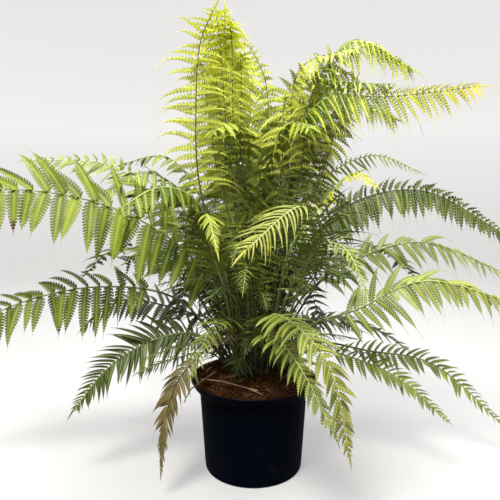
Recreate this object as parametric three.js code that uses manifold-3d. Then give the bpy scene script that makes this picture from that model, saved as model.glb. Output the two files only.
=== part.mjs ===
// A fern in a round nursery pot: feathery fronds that stand in a dark rootstock, which
// sits in a mound of coir. Millimetres, +Z up, -Y is the plant's front, and the origin
// is the centre of the pot's base.

import * as THREE from 'three';
import { mergeVertices } from 'three/addons/utils/BufferGeometryUtils.js';
import Module from 'manifold-3d';

const wasm = await Module();
wasm.setup();

// ---- driving dimensions ----

const POT_HEIGHT = 155;
const POT_BASE_RADIUS = 82;
const POT_WALL_RADIUS = 90; // just under the lip
const POT_RIM_RADIUS = 105;
const POT_LIP_DEPTH = 19; // from the rim down to the straight wall
const POT_LIP_STEP = 8; // how far the lip stands out before it rises
const POT_WALL = 2;
const POT_FLOOR = 3;
const DRAIN_HOLES = 6;
const DRAIN_HOLE_RADIUS = 6;
const DRAIN_HOLE_SIDES = 8;
const DRAIN_RING_RADIUS = 58;

const FIT_GAP = 0.3; // between pieces that touch
const ROUND_SIDES = 32;

const SOIL_EDGE_DROP = 3; // below the rim
const SOIL_TOP = 167;
const SOIL_SHOULDER = [0.4, 0.8]; // where the mound levels off, in shares of its way in and up

const ROOTSTOCK_RADIUS = 47;
const ROOTSTOCK_BOTTOM = 148;
const ROOTSTOCK_TOP = 175;
const ROOTSTOCK_TOP_RADIUS = 42;

const STIPE_RADIUS = 3.0; // of a frond's stalk at its root
const RACHIS_TIP_RADIUS = 1.3;
const STIPE_ROOT_HEIGHT = 160; // the stalks start this high, inside the rootstock
const STALK_RINGS = [0, 0.35, 0.7, 1]; // shares of the bare stalk where its section is set
const RING_EDGE_OUT = Math.sqrt(0.75); // of the three-sided section, per unit of its radius
const RING_EDGE_DOWN = 0.5;

const PINNA_RIDGE = 1.4; // thickness of a pinna along its midrib
const PINNA_CUP = 0.12; // how far the lobes hang below the midrib, per unit of width
const FULLEST = 0.25; // share of the blade where its pinnae are longest
const BASE_LENGTH = 0.75; // of the pinnae at its base, per unit of the longest
const BLADE_TAPER = 0.55; // power of the way from there to the tip
const FIRST_PINNA = 0.6; // place of the first pair, in steps from pair to pair
const TIP_PLACE = 0.6; // of the tip's own blade, from the last pair to the midrib's end
const ROOT_SPREAD = 0.15; // half-length of a pinna's root along the midrib, per unit of width
const LEAST_SPREAD = 0.8;
const STIFF_LENGTH = 60; // pinnae shorter than this droop less
const SHORTEST_PINNA = 8;
const LENGTH_RANGE = [0.92, 1.04]; // of a pinna, per its even length
const ANGLE_SPREAD = 8; // degrees between the widest and the narrowest draw of its angle
const HANG_AT_BASE = 0.6; // what hang is multiplied by at a blade's base, and by 1 more at its tip
const LEAST_OUTWARD = 0.5; // of a pinna's direction that points out of its midrib's side
const MOST_BACKWARD = 0.3; // of it that points back down the midrib
const NECK_LENGTH = 4; // of a pinna, beside its own midrib
const NECK_WIDTH = 0.8; // there, per unit of its full width
const PINNA_TAPER = 0.7; // power of its width's way to its tip
const LOBE_PITCH = 27; // length of pinna per pair of lobes
const NOTCH_DEPTH = 0.6; // share of the half-width that a notch cuts away
const LOBE_LEAN = 0.7; // where a lobe's tip stands between two notches, towards the pinna's tip
const LOBE_MIDDLE = 0.4; // where a lobe's reach is read off the pinna's outline
const PLAIN_WAIST = 0.35; // where a plain leaflet is widest, as a share of its length
const TIP_LENGTH = 0.32; // of the blade at a frond's tip, per length of its longest pinna
const TIP_WIDTH = 0.3; // of that blade, per unit of its length
const TIP_DROOP = 0.3;
const UPPER_RISE = 0.25; // a pinna that rises more steeply than this is on the blade's upper edge
const UPPER_TILT = 25; // and only blades that tilt to the front by more degrees have such an edge
const UPPER_DROOP = 0.3; // share of its droop that an upper pinna keeps
const CLEARANCE = 1.2; // that a pinna keeps from other fronds
const SIBLING_CLEARANCE = 0.3; // and from the other pinnae of its own frond

// Habits of frond: plumes with long drooping pinnae, feathers with broad lobed ones,
// and combs of plain narrow ones. Angles are those between pinna and midrib at the
// blade's base and tip, and on its upper edge. Droop is how far gravity turns a long
// pinna down.
const HABITS = {
  plume: { widthShare: 0.19, mostLobes: 4, angles: [84, 66], upperAngles: [66, 48], droop: 1.5 },
  feather: { widthShare: 0.23, mostLobes: 4, angles: [80, 62], upperAngles: [60, 38], droop: 0.8 },
  comb: { widthShare: 0.22, mostLobes: 1, angles: [74, 46], upperAngles: [62, 36], droop: 0.7 },
};

const COLOURS = {
  pot: 0x1c1f26,
  soil: 0x6b4630,
  rootstock: 0x2e2119,
  lime: 0xb4bf3a,
  green: 0x6f9436,
  pale: 0x9aaf6c,
  olive: 0x7c8440,
  dark: 0x48652c,
  brown: 0x7d7040,
};

// Each frond: where its stalk stands on the rootstock (degrees round it from +X, and
// radius), the points that its midrib passes through, how much of it is bare stalk,
// its longest pinna, its pairs of pinnae, and how far its face tilts to the front.
// Facing is where the back of an upright blade looks (degrees round from +X). Hang lowers
// the pinnae of the frond's left and right hand, a slack blade's upper ones hang like the
// rest, and upper length scales the others.
const FRONDS = {
  crest_left: {
    habit: 'plume', colour: 'lime', stand: [190, 12], bare: 0.42, reach: 100, pairs: 12, tilt: 8,
    facing: -100, hang: [0.05, 0.3],
    path: [[-85, -30, 480], [-85, -60, 595], [-75, -95, 668], [-50, -145, 702]],
  },
  crest_middle: {
    habit: 'plume', colour: 'lime', stand: [250, 12], bare: 0.5, reach: 96, pairs: 11, tilt: 0,
    facing: -80, hang: [0.35, 0.5],
    path: [[-45, 0, 495], [-38, -10, 605], [-42, -45, 690], [-40, -105, 712]],
  },
  crest_back: {
    habit: 'plume', colour: 'lime', stand: [100, 12], bare: 0.44, reach: 92, pairs: 10, tilt: 0,
    facing: 80, hang: [0.5, 0.5],
    path: [[-20, 60, 490], [-5, 80, 605], [-15, 100, 690], [-35, 140, 725]],
  },
  crest_right: {
    habit: 'plume', colour: 'lime', stand: [0, 0], bare: 0.5, reach: 80, pairs: 8, tilt: 0,
    facing: -70, hang: [0.4, 0.5],
    path: [[5, 0, 485], [22, 0, 560], [18, -10, 635], [-12, -40, 688]],
  },
  spire_right: {
    habit: 'plume', colour: 'lime', stand: [20, 12], bare: 0.5, reach: 96, pairs: 9, tilt: 40,
    slack: true, hang: [0.3, 0.3],
    path: [[70, 0, 495], [80, -10, 575], [110, -40, 655], [148, -72, 678], [222, -100, 632]],
  },
  arm_right: {
    habit: 'plume', colour: 'lime', stand: [320, 12], bare: 0.52, reach: 76, pairs: 12, tilt: 62,
    hang: [0.1, 0.6], upperLength: 0.45,
    path: [[55, -20, 480], [65, -40, 555], [110, -75, 600], [180, -100, 595], [305, -125, 605]],
  },
  arm_back: {
    habit: 'plume', colour: 'lime', stand: [40, 22], bare: 0.5, reach: 84, pairs: 9, tilt: 50,
    slack: true, hang: [0.35, 0.35],
    path: [[80, 42, 500], [88, 52, 580], [125, 36, 618], [225, -15, 575]],
  },
  inner_right: {
    habit: 'feather', colour: 'green', stand: [58, 14], bare: 0.5, reach: 80, pairs: 8, tilt: 0,
    facing: -40, slack: true, hang: [0.6, 0.4],
    path: [[60, 20, 470], [85, 24, 535], [115, 22, 575], [160, 0, 555]],
  },
  inner_centre: {
    habit: 'feather', colour: 'green', stand: [321, 27], bare: 0.45, reach: 80, pairs: 9, tilt: 35,
    facing: -60, slack: true, hang: [0.6, 0.4],
    path: [[15, -20, 465], [30, -35, 525], [48, -62, 562], [82, -112, 552]],
  },
  inner_middle: {
    habit: 'feather', colour: 'green', stand: [245, 22], bare: 0.45, reach: 80, pairs: 8, tilt: 0,
    facing: -100, hang: [0.4, 0.4],
    path: [[-30, -20, 465], [-20, -40, 525], [-30, -75, 560], [-60, -130, 545]],
  },
  inner_left: {
    habit: 'feather', colour: 'green', stand: [140, 14], bare: 0.46, reach: 60, pairs: 8, tilt: 15,
    hang: [0.3, 0.3],
    path: [[-45, 20, 350], [-90, 30, 455], [-145, 40, 520], [-235, 45, 505]],
  },
  bough_left: {
    habit: 'feather', colour: 'green', stand: [126, 33], bare: 0.46, reach: 66, pairs: 9, tilt: 20,
    hang: [0.3, 0.3],
    path: [[-68, 44, 340], [-124, 16, 468], [-180, -26, 492], [-240, -70, 445]],
  },
  right_high: {
    habit: 'comb', colour: 'pale', stand: [56, 33], bare: 0.42, reach: 52, pairs: 14, tilt: 50,
    hang: [0, 0.6], upperLength: 0.3,
    path: [[64, 42, 380], [118, 64, 480], [210, 80, 525], [300, 90, 495]],
  },
  right_front: {
    habit: 'feather', colour: 'lime', stand: [313, 33], bare: 0.46, reach: 42, pairs: 8, tilt: 35,
    hang: [0.3, 0.3],
    path: [[55, -60, 375], [110, -90, 460], [140, -110, 490], [165, -150, 470]],
  },
  right_wide: {
    habit: 'feather', colour: 'olive', stand: [340, 22], bare: 0.34, reach: 70, pairs: 12, tilt: 55,
    hang: [0, 0.5], upperLength: 0.5,
    path: [[60, -10, 335], [145, -30, 440], [250, -60, 465], [370, -90, 400]],
  },
  right_middle: {
    habit: 'feather', colour: 'pale', stand: [14, 22], bare: 0.34, reach: 70, pairs: 10, tilt: 45,
    hang: [0.1, 0.4],
    path: [[80, 20, 280], [165, 40, 340], [290, 50, 375], [455, 60, 315]],
  },
  right_low: {
    habit: 'feather', colour: 'pale', stand: [332, 33], bare: 0.36, reach: 78, pairs: 9, tilt: 50,
    hang: [0.1, 0.4],
    path: [[90, -22, 245], [165, -30, 275], [265, -50, 325], [415, -80, 290]],
  },
  right_skirt: {
    habit: 'comb', colour: 'dark', stand: [5, 33], bare: 0.32, reach: 60, pairs: 11, tilt: 10,
    path: [[65, 2, 230], [125, 0, 255], [195, -10, 240], [255, -20, 205]],
  },
  floor_right_front: {
    habit: 'comb', colour: 'green', stand: [350, 33], bare: 0.34, reach: 42, pairs: 12, tilt: 45,
    path: [[95, -8, 200], [185, -5, 180], [250, -20, 150], [315, -50, 95]],
  },
  floor_right_back: {
    habit: 'comb', colour: 'green', stand: [20, 33], bare: 0.34, reach: 46, pairs: 14, tilt: 45,
    path: [[95, 27, 202], [205, 40, 184], [310, 30, 165], [435, 0, 60]],
  },
  front_right: {
    habit: 'comb', colour: 'pale', stand: [292, 33], bare: 0.25, reach: 62, pairs: 14, tilt: 0,
    path: [[20, -100, 280], [50, -175, 292], [90, -240, 255], [115, -255, 145]],
  },
  front_right_low: {
    habit: 'comb', colour: 'pale', stand: [275, 33], bare: 0.28, reach: 54, pairs: 12, tilt: 0,
    path: [[5, -95, 250], [32, -150, 262], [62, -205, 235], [100, -245, 165]],
  },
  front_middle: {
    habit: 'comb', colour: 'pale', stand: [277, 25], bare: 0.42, reach: 80, pairs: 13, tilt: 0,
    path: [[60, -80, 330], [92, -150, 402], [58, -205, 447], [-13, -268, 398]],
  },
  front_right_high: {
    habit: 'comb', colour: 'pale', stand: [305, 22], bare: 0.46, reach: 46, pairs: 11, tilt: 0,
    path: [[54, -100, 290], [84, -158, 392], [112, -200, 395], [135, -235, 345]],
  },
  front_left_high: {
    habit: 'comb', colour: 'green', stand: [238, 33], bare: 0.46, reach: 52, pairs: 11, tilt: 0,
    path: [[-45, -70, 315], [-70, -130, 420], [-60, -180, 435], [-45, -230, 395]],
  },
  front_low: {
    habit: 'comb', colour: 'olive', stand: [255, 33], bare: 0.3, reach: 48, pairs: 10, tilt: 0,
    path: [[-30, -78, 268], [-50, -128, 280], [-68, -170, 262], [-84, -205, 225]],
  },
  left_wide: {
    habit: 'feather', colour: 'green', stand: [200, 22], bare: 0.26, reach: 106, pairs: 11, tilt: 66,
    hang: [0.3, 0],
    path: [[-80, -20, 335], [-180, -60, 425], [-310, -100, 465], [-500, -120, 455]],
  },
  left_high: {
    habit: 'feather', colour: 'pale', stand: [155, 22], bare: 0.36, reach: 70, pairs: 10, tilt: 50,
    upperLength: 0.55,
    path: [[-95, 20, 365], [-170, 30, 455], [-235, 40, 505], [-380, 30, 515]],
  },
  left_front: {
    habit: 'feather', colour: 'green', stand: [225, 22], bare: 0.44, reach: 84, pairs: 7, tilt: 15,
    hang: [0.6, 0.6],
    path: [[-55, -40, 375], [-90, -80, 455], [-130, -120, 470], [-180, -170, 440]],
  },
  left_low: {
    habit: 'feather', colour: 'green', stand: [178, 33], bare: 0.36, reach: 92, pairs: 10, tilt: 55,
    hang: [0.7, 0], upperLength: 0.7,
    path: [[-120, -10, 285], [-250, -30, 312], [-400, -50, 276], [-500, -60, 205]],
  },
  left_skirt: {
    habit: 'feather', colour: 'dark', stand: [160, 33], bare: 0.3, reach: 62, pairs: 8, tilt: 30,
    hang: [0.4, 0.2],
    path: [[-90, 25, 245], [-160, 30, 270], [-230, 40, 275], [-305, 50, 220]],
  },
  floor_left: {
    habit: 'comb', colour: 'olive', stand: [195, 33], bare: 0.3, reach: 60, pairs: 12, tilt: 55,
    path: [[-90, -18, 230], [-155, -20, 225], [-230, -40, 185], [-285, -60, 120]],
  },
  spent_left: {
    habit: 'comb', colour: 'brown', stand: [222, 33], bare: 0.4, reach: 40, pairs: 11, tilt: 25,
    path: [[-60, -60, 225], [-105, -100, 195], [-130, -110, 135], [-140, -110, 40]],
  },
  heart_left: {
    habit: 'comb', colour: 'dark', stand: [178, 22], bare: 0.42, reach: 44, pairs: 8, tilt: 20,
    path: [[-50, -2, 250], [-85, -4, 312], [-125, -10, 340], [-170, -22, 330]],
  },
  heart_right: {
    habit: 'comb', colour: 'dark', stand: [356, 17], bare: 0.42, reach: 44, pairs: 8, tilt: 20,
    path: [[50, 3, 270], [86, 5, 335], [130, 0, 355], [180, -15, 335]],
  },
  heart_front: {
    habit: 'comb', colour: 'olive', stand: [290, 16], bare: 0.42, reach: 42, pairs: 8, tilt: 0,
    path: [[2, -55, 280], [-4, -95, 345], [-10, -135, 360], [-15, -180, 335]],
  },
  back_left: {
    habit: 'feather', colour: 'dark', stand: [120, 22], bare: 0.4, reach: 80, pairs: 6, tilt: 0,
    path: [[-65, 60, 345], [-145, 120, 445], [-205, 190, 465], [-280, 260, 380]],
  },
  back_right: {
    habit: 'feather', colour: 'dark', stand: [65, 22], bare: 0.4, reach: 80, pairs: 6, tilt: 0,
    path: [[42, 72, 345], [95, 125, 445], [145, 190, 465], [210, 270, 355]],
  },
  back_middle: {
    habit: 'feather', colour: 'green', stand: [92, 22], bare: 0.4, reach: 80, pairs: 6, tilt: 0,
    path: [[-5, 80, 340], [-15, 150, 465], [-25, 220, 485], [-40, 300, 375]],
  },
  back_wide_left: {
    habit: 'feather', colour: 'green', stand: [140, 33], bare: 0.36, reach: 76, pairs: 7, tilt: 0,
    path: [[-110, 70, 290], [-200, 130, 345], [-280, 190, 345], [-360, 240, 280]],
  },
  back_wide_right: {
    habit: 'feather', colour: 'green', stand: [42, 33], bare: 0.36, reach: 76, pairs: 7, tilt: 0,
    path: [[110, 70, 290], [200, 140, 345], [275, 200, 340], [350, 250, 275]],
  },
  back_low_left: {
    habit: 'feather', colour: 'dark', stand: [112, 33], bare: 0.34, reach: 64, pairs: 6, tilt: 0,
    path: [[-50, 100, 260], [-105, 160, 290], [-140, 220, 255], [-180, 270, 155]],
  },
  back_low_right: {
    habit: 'feather', colour: 'dark', stand: [70, 33], bare: 0.34, reach: 64, pairs: 6, tilt: 0,
    path: [[50, 100, 260], [80, 160, 290], [120, 220, 255], [150, 270, 155]],
  },
};

// ---- helpers ----

const UP = new THREE.Vector3(0, 0, 1);
const radians = THREE.MathUtils.degToRad;
const mix = THREE.MathUtils.lerp;

function seededRandom(seed) {
  let state = seed;
  return () => {
    state = (state * 1664525 + 1013904223) % 4294967296;
    return state / 4294967296;
  };
}

// One closed solid from corner points and triangles.
function solidFrom({ points, triangles }) {
  const vertProperties = new Float32Array(points.flatMap((p) => [p.x, p.y, p.z]));
  const triVerts = new Uint32Array(triangles.flat());
  return new wasm.Manifold(new wasm.Mesh({ numProp: 3, vertProperties, triVerts }));
}

// The solid inside a closed three.js geometry.
function solidOf(geometry) {
  geometry.deleteAttribute('normal');
  geometry.deleteAttribute('uv');
  const merged = mergeVertices(geometry, 1e-3);
  const position = merged.getAttribute('position');
  const points = [];
  for (let i = 0; i < position.count; i++) {
    points.push(new THREE.Vector3().fromBufferAttribute(position, i));
  }
  const triangles = [];
  for (let i = 0; i < merged.index.count; i += 3) {
    const [a, b, c] = [0, 1, 2].map((k) => merged.index.getX(i + k));
    if (a !== b && b !== c && c !== a) triangles.push([a, b, c]);
  }
  return solidFrom({ points, triangles });
}

function meshOf(solid, name, colour, roughness) {
  const { vertProperties, triVerts } = solid.getMesh();
  const geometry = new THREE.BufferGeometry();
  geometry.setAttribute('position', new THREE.BufferAttribute(new Float32Array(vertProperties), 3));
  geometry.setIndex(new THREE.BufferAttribute(new Uint32Array(triVerts), 1));
  geometry.computeVertexNormals();
  const look = { color: COLOURS[colour], roughness, metalness: 0, flatShading: true };
  const mesh = new THREE.Mesh(geometry, new THREE.MeshStandardMaterial(look));
  mesh.name = name;
  return mesh;
}

// A solid of revolution about Z from [radius, height] corners, from axis to axis.
function turned(corners, sides) {
  const profile = corners.map(([radius, height]) => new THREE.Vector2(radius, height));
  const geometry = new THREE.LatheGeometry(profile, sides);
  geometry.rotateX(Math.PI / 2);
  return solidOf(geometry);
}

// ---- pot, soil and rootstock ----

const lipFoot = POT_HEIGHT - POT_LIP_DEPTH;
const lipShoulder = lipFoot + POT_LIP_DEPTH / 4;

function potSolid() {
  let pot = turned([
    [0, 0],
    [POT_BASE_RADIUS, 0],
    [POT_WALL_RADIUS, lipFoot],
    [POT_WALL_RADIUS + POT_LIP_STEP, lipShoulder],
    [POT_RIM_RADIUS, POT_HEIGHT],
    [POT_RIM_RADIUS - POT_WALL, POT_HEIGHT],
    [POT_WALL_RADIUS + POT_LIP_STEP - POT_WALL, lipShoulder + POT_WALL],
    [POT_WALL_RADIUS - POT_WALL, lipFoot + POT_WALL],
    [POT_BASE_RADIUS - POT_WALL, POT_FLOOR],
    [0, POT_FLOOR],
  ], ROUND_SIDES);
  for (let i = 0; i < DRAIN_HOLES; i++) {
    const angle = (i / DRAIN_HOLES) * 2 * Math.PI;
    const [radius, depth] = [DRAIN_HOLE_RADIUS, 4 * POT_FLOOR];
    const drill = new THREE.CylinderGeometry(radius, radius, depth, DRAIN_HOLE_SIDES);
    drill.rotateX(Math.PI / 2);
    drill.translate(DRAIN_RING_RADIUS * Math.cos(angle), DRAIN_RING_RADIUS * Math.sin(angle), 0);
    pot = pot.subtract(solidOf(drill));
  }
  return pot;
}

// The coir fills the pot to just under its rim and mounds up to the rootstock.
function soilSolid() {
  const edgeHeight = POT_HEIGHT - SOIL_EDGE_DROP;
  const lipRise = (edgeHeight - lipShoulder - POT_WALL) / (POT_HEIGHT - lipShoulder - POT_WALL);
  const lipRadius = POT_WALL_RADIUS + POT_LIP_STEP - POT_WALL;
  const edgeRadius = mix(lipRadius, POT_RIM_RADIUS - POT_WALL, lipRise) - 2 * FIT_GAP;
  const recessRadius = ROOTSTOCK_RADIUS + FIT_GAP;
  const [shoulderIn, shoulderUp] = SOIL_SHOULDER;
  return turned([
    [0, POT_FLOOR + FIT_GAP],
    [POT_BASE_RADIUS - POT_WALL - FIT_GAP, POT_FLOOR + FIT_GAP],
    [POT_WALL_RADIUS - POT_WALL - FIT_GAP, lipFoot + POT_WALL],
    [lipRadius - 2 * FIT_GAP, lipShoulder + POT_WALL],
    [edgeRadius, edgeHeight],
    [mix(edgeRadius, recessRadius, shoulderIn), mix(edgeHeight, SOIL_TOP, shoulderUp)],
    [recessRadius, SOIL_TOP],
    [recessRadius, ROOTSTOCK_BOTTOM - FIT_GAP],
    [0, ROOTSTOCK_BOTTOM - FIT_GAP],
  ], ROUND_SIDES);
}

function rootstockSolid() {
  return turned([
    [0, ROOTSTOCK_BOTTOM],
    [ROOTSTOCK_RADIUS, ROOTSTOCK_BOTTOM],
    [ROOTSTOCK_RADIUS, SOIL_TOP],
    [ROOTSTOCK_TOP_RADIUS, ROOTSTOCK_TOP],
    [0, ROOTSTOCK_TOP],
  ], ROUND_SIDES / 2);
}

// ---- a frond ----

// The midrib as a smooth curve. At a share of its length it gives the point, forward
// along the midrib, left across the blade, and face, out of the blade's upper side.
function midrib({ stand: [degrees, radius], path, tilt, facing }) {
  const angle = radians(degrees);
  const root = new THREE.Vector3(radius * Math.cos(angle), radius * Math.sin(angle), STIPE_ROOT_HEIGHT);
  const curve = new THREE.CatmullRomCurve3([root, ...path.map((p) => new THREE.Vector3(...p))]);
  const outward = facing === undefined
    ? curve.points.at(-1).clone().sub(root).setZ(0).normalize()
    : new THREE.Vector3(Math.cos(radians(facing)), Math.sin(radians(facing)), 0);
  const across = UP.clone().cross(outward);
  return (share) => {
    const forward = curve.getTangentAt(share);
    const left = across.clone().addScaledVector(forward, -across.dot(forward)).normalize();
    left.applyAxisAngle(forward, radians(tilt) * Math.sign(outward.x));
    return { share, point: curve.getPointAt(share), forward, left, face: forward.clone().cross(left) };
  };
}

// The five corners of the three-sided midrib at one place: its ridge, and the ends of
// the two short edges that its pinnae grow from.
function ringCorners({ share, point, forward, left, face }, spread, extra = 0) {
  const radius = mix(STIPE_RADIUS, RACHIS_TIP_RADIUS, share) + 2 * extra;
  const corner = (up, out, along) => point.clone()
    .addScaledVector(face, up * radius)
    .addScaledVector(left, out * radius * RING_EDGE_OUT)
    .addScaledVector(forward, along * spread);
  const edgeEnds = [[1, -1], [1, 1], [-1, -1], [-1, 1]];
  return [corner(1, 0, 0), ...edgeEnds.map(([out, along]) => corner(-RING_EDGE_DOWN, out, along))];
}

// Half-width of a pinna at a share of its length, as a share of its widest.
const pinnaOutline = (share) => Math.min(1, NECK_WIDTH + share) * (1 - share) ** PINNA_TAPER;

// Grows a thin arched blade with a lobed edge out of three corners of the skin: a
// ridge over a flat underside.
function growBlade(skin, [ridgeStart, leftStart, rightStart], plan, extra = 0) {
  const { root, heading, face, length, width, lobes, droop } = plan;
  const step = (length + extra) / lobes;
  const centre = root.clone();
  const upAtRoot = face.clone().addScaledVector(heading, -face.dot(heading)).normalize();
  let [ridge, left, right] = [ridgeStart, leftStart, rightStart];
  const addPoint = (base, side, out, up, lift) => {
    const point = base.clone().addScaledVector(side, out).addScaledVector(up, lift - extra);
    return skin.points.push(point) - 1;
  };
  for (let i = 0; i < lobes; i++) {
    const direction = heading.clone().addScaledVector(UP, -droop * (i + 0.5) / lobes).normalize();
    const bend = new THREE.Quaternion().setFromUnitVectors(heading, direction);
    const up = upAtRoot.clone().applyQuaternion(bend);
    const side = up.clone().cross(direction);
    const lobe = pinnaOutline((i + LOBE_MIDDLE) / lobes) * width / 2 + extra;
    const waist = step * (lobes > 1 ? LOBE_LEAN : PLAIN_WAIST);
    const lobeBase = centre.clone().addScaledVector(direction, waist);
    const leftLobe = addPoint(lobeBase, side, lobe, up, -PINNA_CUP * lobe);
    const rightLobe = addPoint(lobeBase, side, -lobe, up, -PINNA_CUP * lobe);
    centre.addScaledVector(direction, step);
    const share = (i + 1) / lobes;
    const notch = (1 - NOTCH_DEPTH) * pinnaOutline(share) * width / 2 + extra;
    const nextRidge = addPoint(centre, side, 0, up, share < 1 ? PINNA_RIDGE + 2 * extra : 0);
    skin.triangles.push([ridge, leftLobe, left], [ridge, right, rightLobe]);
    skin.triangles.push([ridge, nextRidge, leftLobe], [ridge, rightLobe, nextRidge]);
    if (share < 1) {
      const nextLeft = addPoint(centre, side, notch, up, 0);
      const nextRight = addPoint(centre, side, -notch, up, 0);
      skin.triangles.push([nextRidge, nextLeft, leftLobe], [rightLobe, nextRight, nextRidge]);
      skin.triangles.push([left, leftLobe, nextLeft], [right, nextRight, rightLobe]);
      skin.triangles.push([left, nextLeft, nextRight], [left, nextRight, right]);
      [ridge, left, right] = [nextRidge, nextLeft, nextRight];
    } else {
      skin.triangles.push([left, leftLobe, nextRidge], [left, nextRidge, right]);
      skin.triangles.push([right, nextRidge, rightLobe]);
    }
  }
}

// The three corners of a blade's root when it stands by itself.
function looseCorners({ root, heading, face }, extra) {
  const side = face.clone().cross(heading).normalize();
  const half = PINNA_RIDGE / 2 + extra;
  return [
    root.clone().addScaledVector(face, half),
    root.clone().addScaledVector(side, half).addScaledVector(face, -half),
    root.clone().addScaledVector(side, -half).addScaledVector(face, -half),
  ];
}

// One blade by itself, closed at its root, to try it against its neighbours.
function bladeSolid(plan, extra, points = looseCorners(plan, extra)) {
  const skin = { points, triangles: [[0, 1, 2]] };
  growBlade(skin, [0, 1, 2], plan, extra);
  return solidFrom(skin);
}

// The five corners of a ring that no pinnae grow from: each edge's two ends are one.
const bareRing = (first) => [0, 1, 1, 2, 2].map((k) => first + k);

// The stretch of bare three-sided stalk through some rings; extra makes it fatter.
function stalkSolid(rings, extra) {
  const skin = { points: [], triangles: [[0, 1, 2]] };
  for (const ring of rings) {
    const [ridge, left, , right] = ringCorners(ring, 0, extra);
    const first = skin.points.push(ridge, left, right) - 3;
    if (first === 0) skin.points.forEach((p) => p.addScaledVector(ring.forward, -extra));
    else joinRings(skin, bareRing(first - 3), bareRing(first));
  }
  const last = skin.points.length - 3;
  skin.triangles.push([last, last + 2, last + 1]);
  return solidFrom(skin);
}

function joinRings(skin, [ridge, , leftFore, , rightFore], [nextRidge, nextLeft, , nextRight]) {
  skin.triangles.push([ridge, nextRidge, nextLeft], [ridge, nextLeft, leftFore]);
  skin.triangles.push([ridge, rightFore, nextRight], [ridge, nextRight, nextRidge]);
  skin.triangles.push([leftFore, nextLeft, nextRight], [leftFore, nextRight, rightFore]);
}

// The whole frond as one closed skin: stalk, midrib, pinnae and the blade at its tip.
function frondSolid({ stalkRings, pinnaRings, tip }) {
  const skin = { points: [], triangles: [[0, 1, 2]] };
  let before = null;
  for (const ring of stalkRings) {
    const [ridge, left, , right] = ringCorners(ring, 0);
    const first = skin.points.push(ridge, left, right) - 3;
    const now = bareRing(first);
    if (before) joinRings(skin, before, now);
    before = now;
  }
  for (const { ring, spread, leftPlan, rightPlan } of pinnaRings) {
    const first = skin.points.push(...ringCorners(ring, spread)) - 5;
    const now = [0, 1, 2, 3, 4].map((k) => first + k);
    const [ridge, leftAft, leftFore, rightAft, rightFore] = now;
    joinRings(skin, before, now);
    skin.triangles.push([leftAft, leftFore, rightFore], [leftAft, rightFore, rightAft]);
    if (leftPlan) growBlade(skin, [ridge, leftAft, leftFore], leftPlan);
    else skin.triangles.push([ridge, leftFore, leftAft]);
    if (rightPlan) growBlade(skin, [ridge, rightFore, rightAft], rightPlan);
    else skin.triangles.push([ridge, rightAft, rightFore]);
    before = now;
  }
  const [ridge, left, , right] = ringCorners(tip.ring, 0);
  const first = skin.points.push(ridge, left, right) - 3;
  joinRings(skin, before, bareRing(first));
  growBlade(skin, [first, first + 1, first + 2], tip.plan);
  return solidFrom(skin);
}

// A pinna's length at a share of the blade, per unit of the longest.
const pinnaLength = (share) => (share < FULLEST
  ? mix(BASE_LENGTH, 1, share / FULLEST)
  : ((1 - share) / (1 - FULLEST)) ** BLADE_TAPER);

// One pinna's measures. Bend turns it up or down, and shorten scales its length.
function pinnaPlan(frond, { ring, share, spread }, hand, random) {
  const habit = HABITS[frond.habit];
  const { forward, left, face } = ring;
  const corners = (extra) => {
    const [ridge, leftAft, leftFore, rightAft, rightFore] = ringCorners(ring, spread + extra, extra);
    return hand > 0 ? [ridge, leftAft, leftFore] : [ridge, rightFore, rightAft];
  };
  const root = corners(0)[1].lerp(corners(0)[2], 0.5);
  const outward = left.clone().multiplyScalar(hand * RING_EDGE_OUT)
    .addScaledVector(face, RING_EDGE_DOWN);
  const isUpper = frond.tilt > UPPER_TILT && hand * left.z > UPPER_RISE && !frond.slack;
  const [baseAngle, tipAngle] = isUpper ? habit.upperAngles : habit.angles;
  const angle = radians(mix(baseAngle, tipAngle, share) + ANGLE_SPREAD * (random() - 0.5));
  const hang = (frond.hang ?? [0, 0])[hand > 0 ? 0 : 1] * (HANG_AT_BASE + share);
  const longest = frond.reach * (isUpper ? frond.upperLength ?? 1 : 1);
  const evenLength = longest * pinnaLength(share) * mix(...LENGTH_RANGE, random());
  const fullLength = Math.max(evenLength, SHORTEST_PINNA);
  const droop = habit.droop * Math.min(1, fullLength / STIFF_LENGTH) * (isUpper ? UPPER_DROOP : 1);
  return (bend, shorten) => {
    const heading = forward.clone().multiplyScalar(Math.cos(angle))
      .addScaledVector(left, hand * Math.sin(angle))
      .addScaledVector(UP, -hang)
      .normalize()
      .applyAxisAngle(forward, hand * radians(bend));
    const backward = Math.max(0, -heading.dot(forward) - MOST_BACKWARD);
    const inward = Math.max(0, LEAST_OUTWARD - heading.dot(outward));
    heading.addScaledVector(forward, backward).addScaledVector(outward, inward).normalize();
    const length = fullLength * shorten;
    const lobes = THREE.MathUtils.clamp(Math.round(length / LOBE_PITCH), 1, habit.mostLobes);
    const width = fullLength * habit.widthShare;
    return { root, corners, heading, face, length, width, lobes, droop };
  };
}

function tipPlan(frond, { point, forward, face }) {
  const length = frond.reach * TIP_LENGTH;
  const width = length * TIP_WIDTH;
  return { root: point, heading: forward, face, length, width, lobes: 1, droop: TIP_DROOP };
}

const boxesMeet = (a, b) => [0, 1, 2].every((k) => a.min[k] <= b.max[k] && b.min[k] <= a.max[k]);

function isClear(solid, others) {
  const box = solid.boundingBox();
  return others.every((other) => !boxesMeet(box, other.box) || solid.intersect(other.solid).isEmpty());
}

// A pinna that would meet a neighbour is bent clear of it, then shortened, then left out.
const BENDS = [0, 14, -14, 28, -28, 42];
const SHORTER = [1, 0.78, 0.58];

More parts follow.
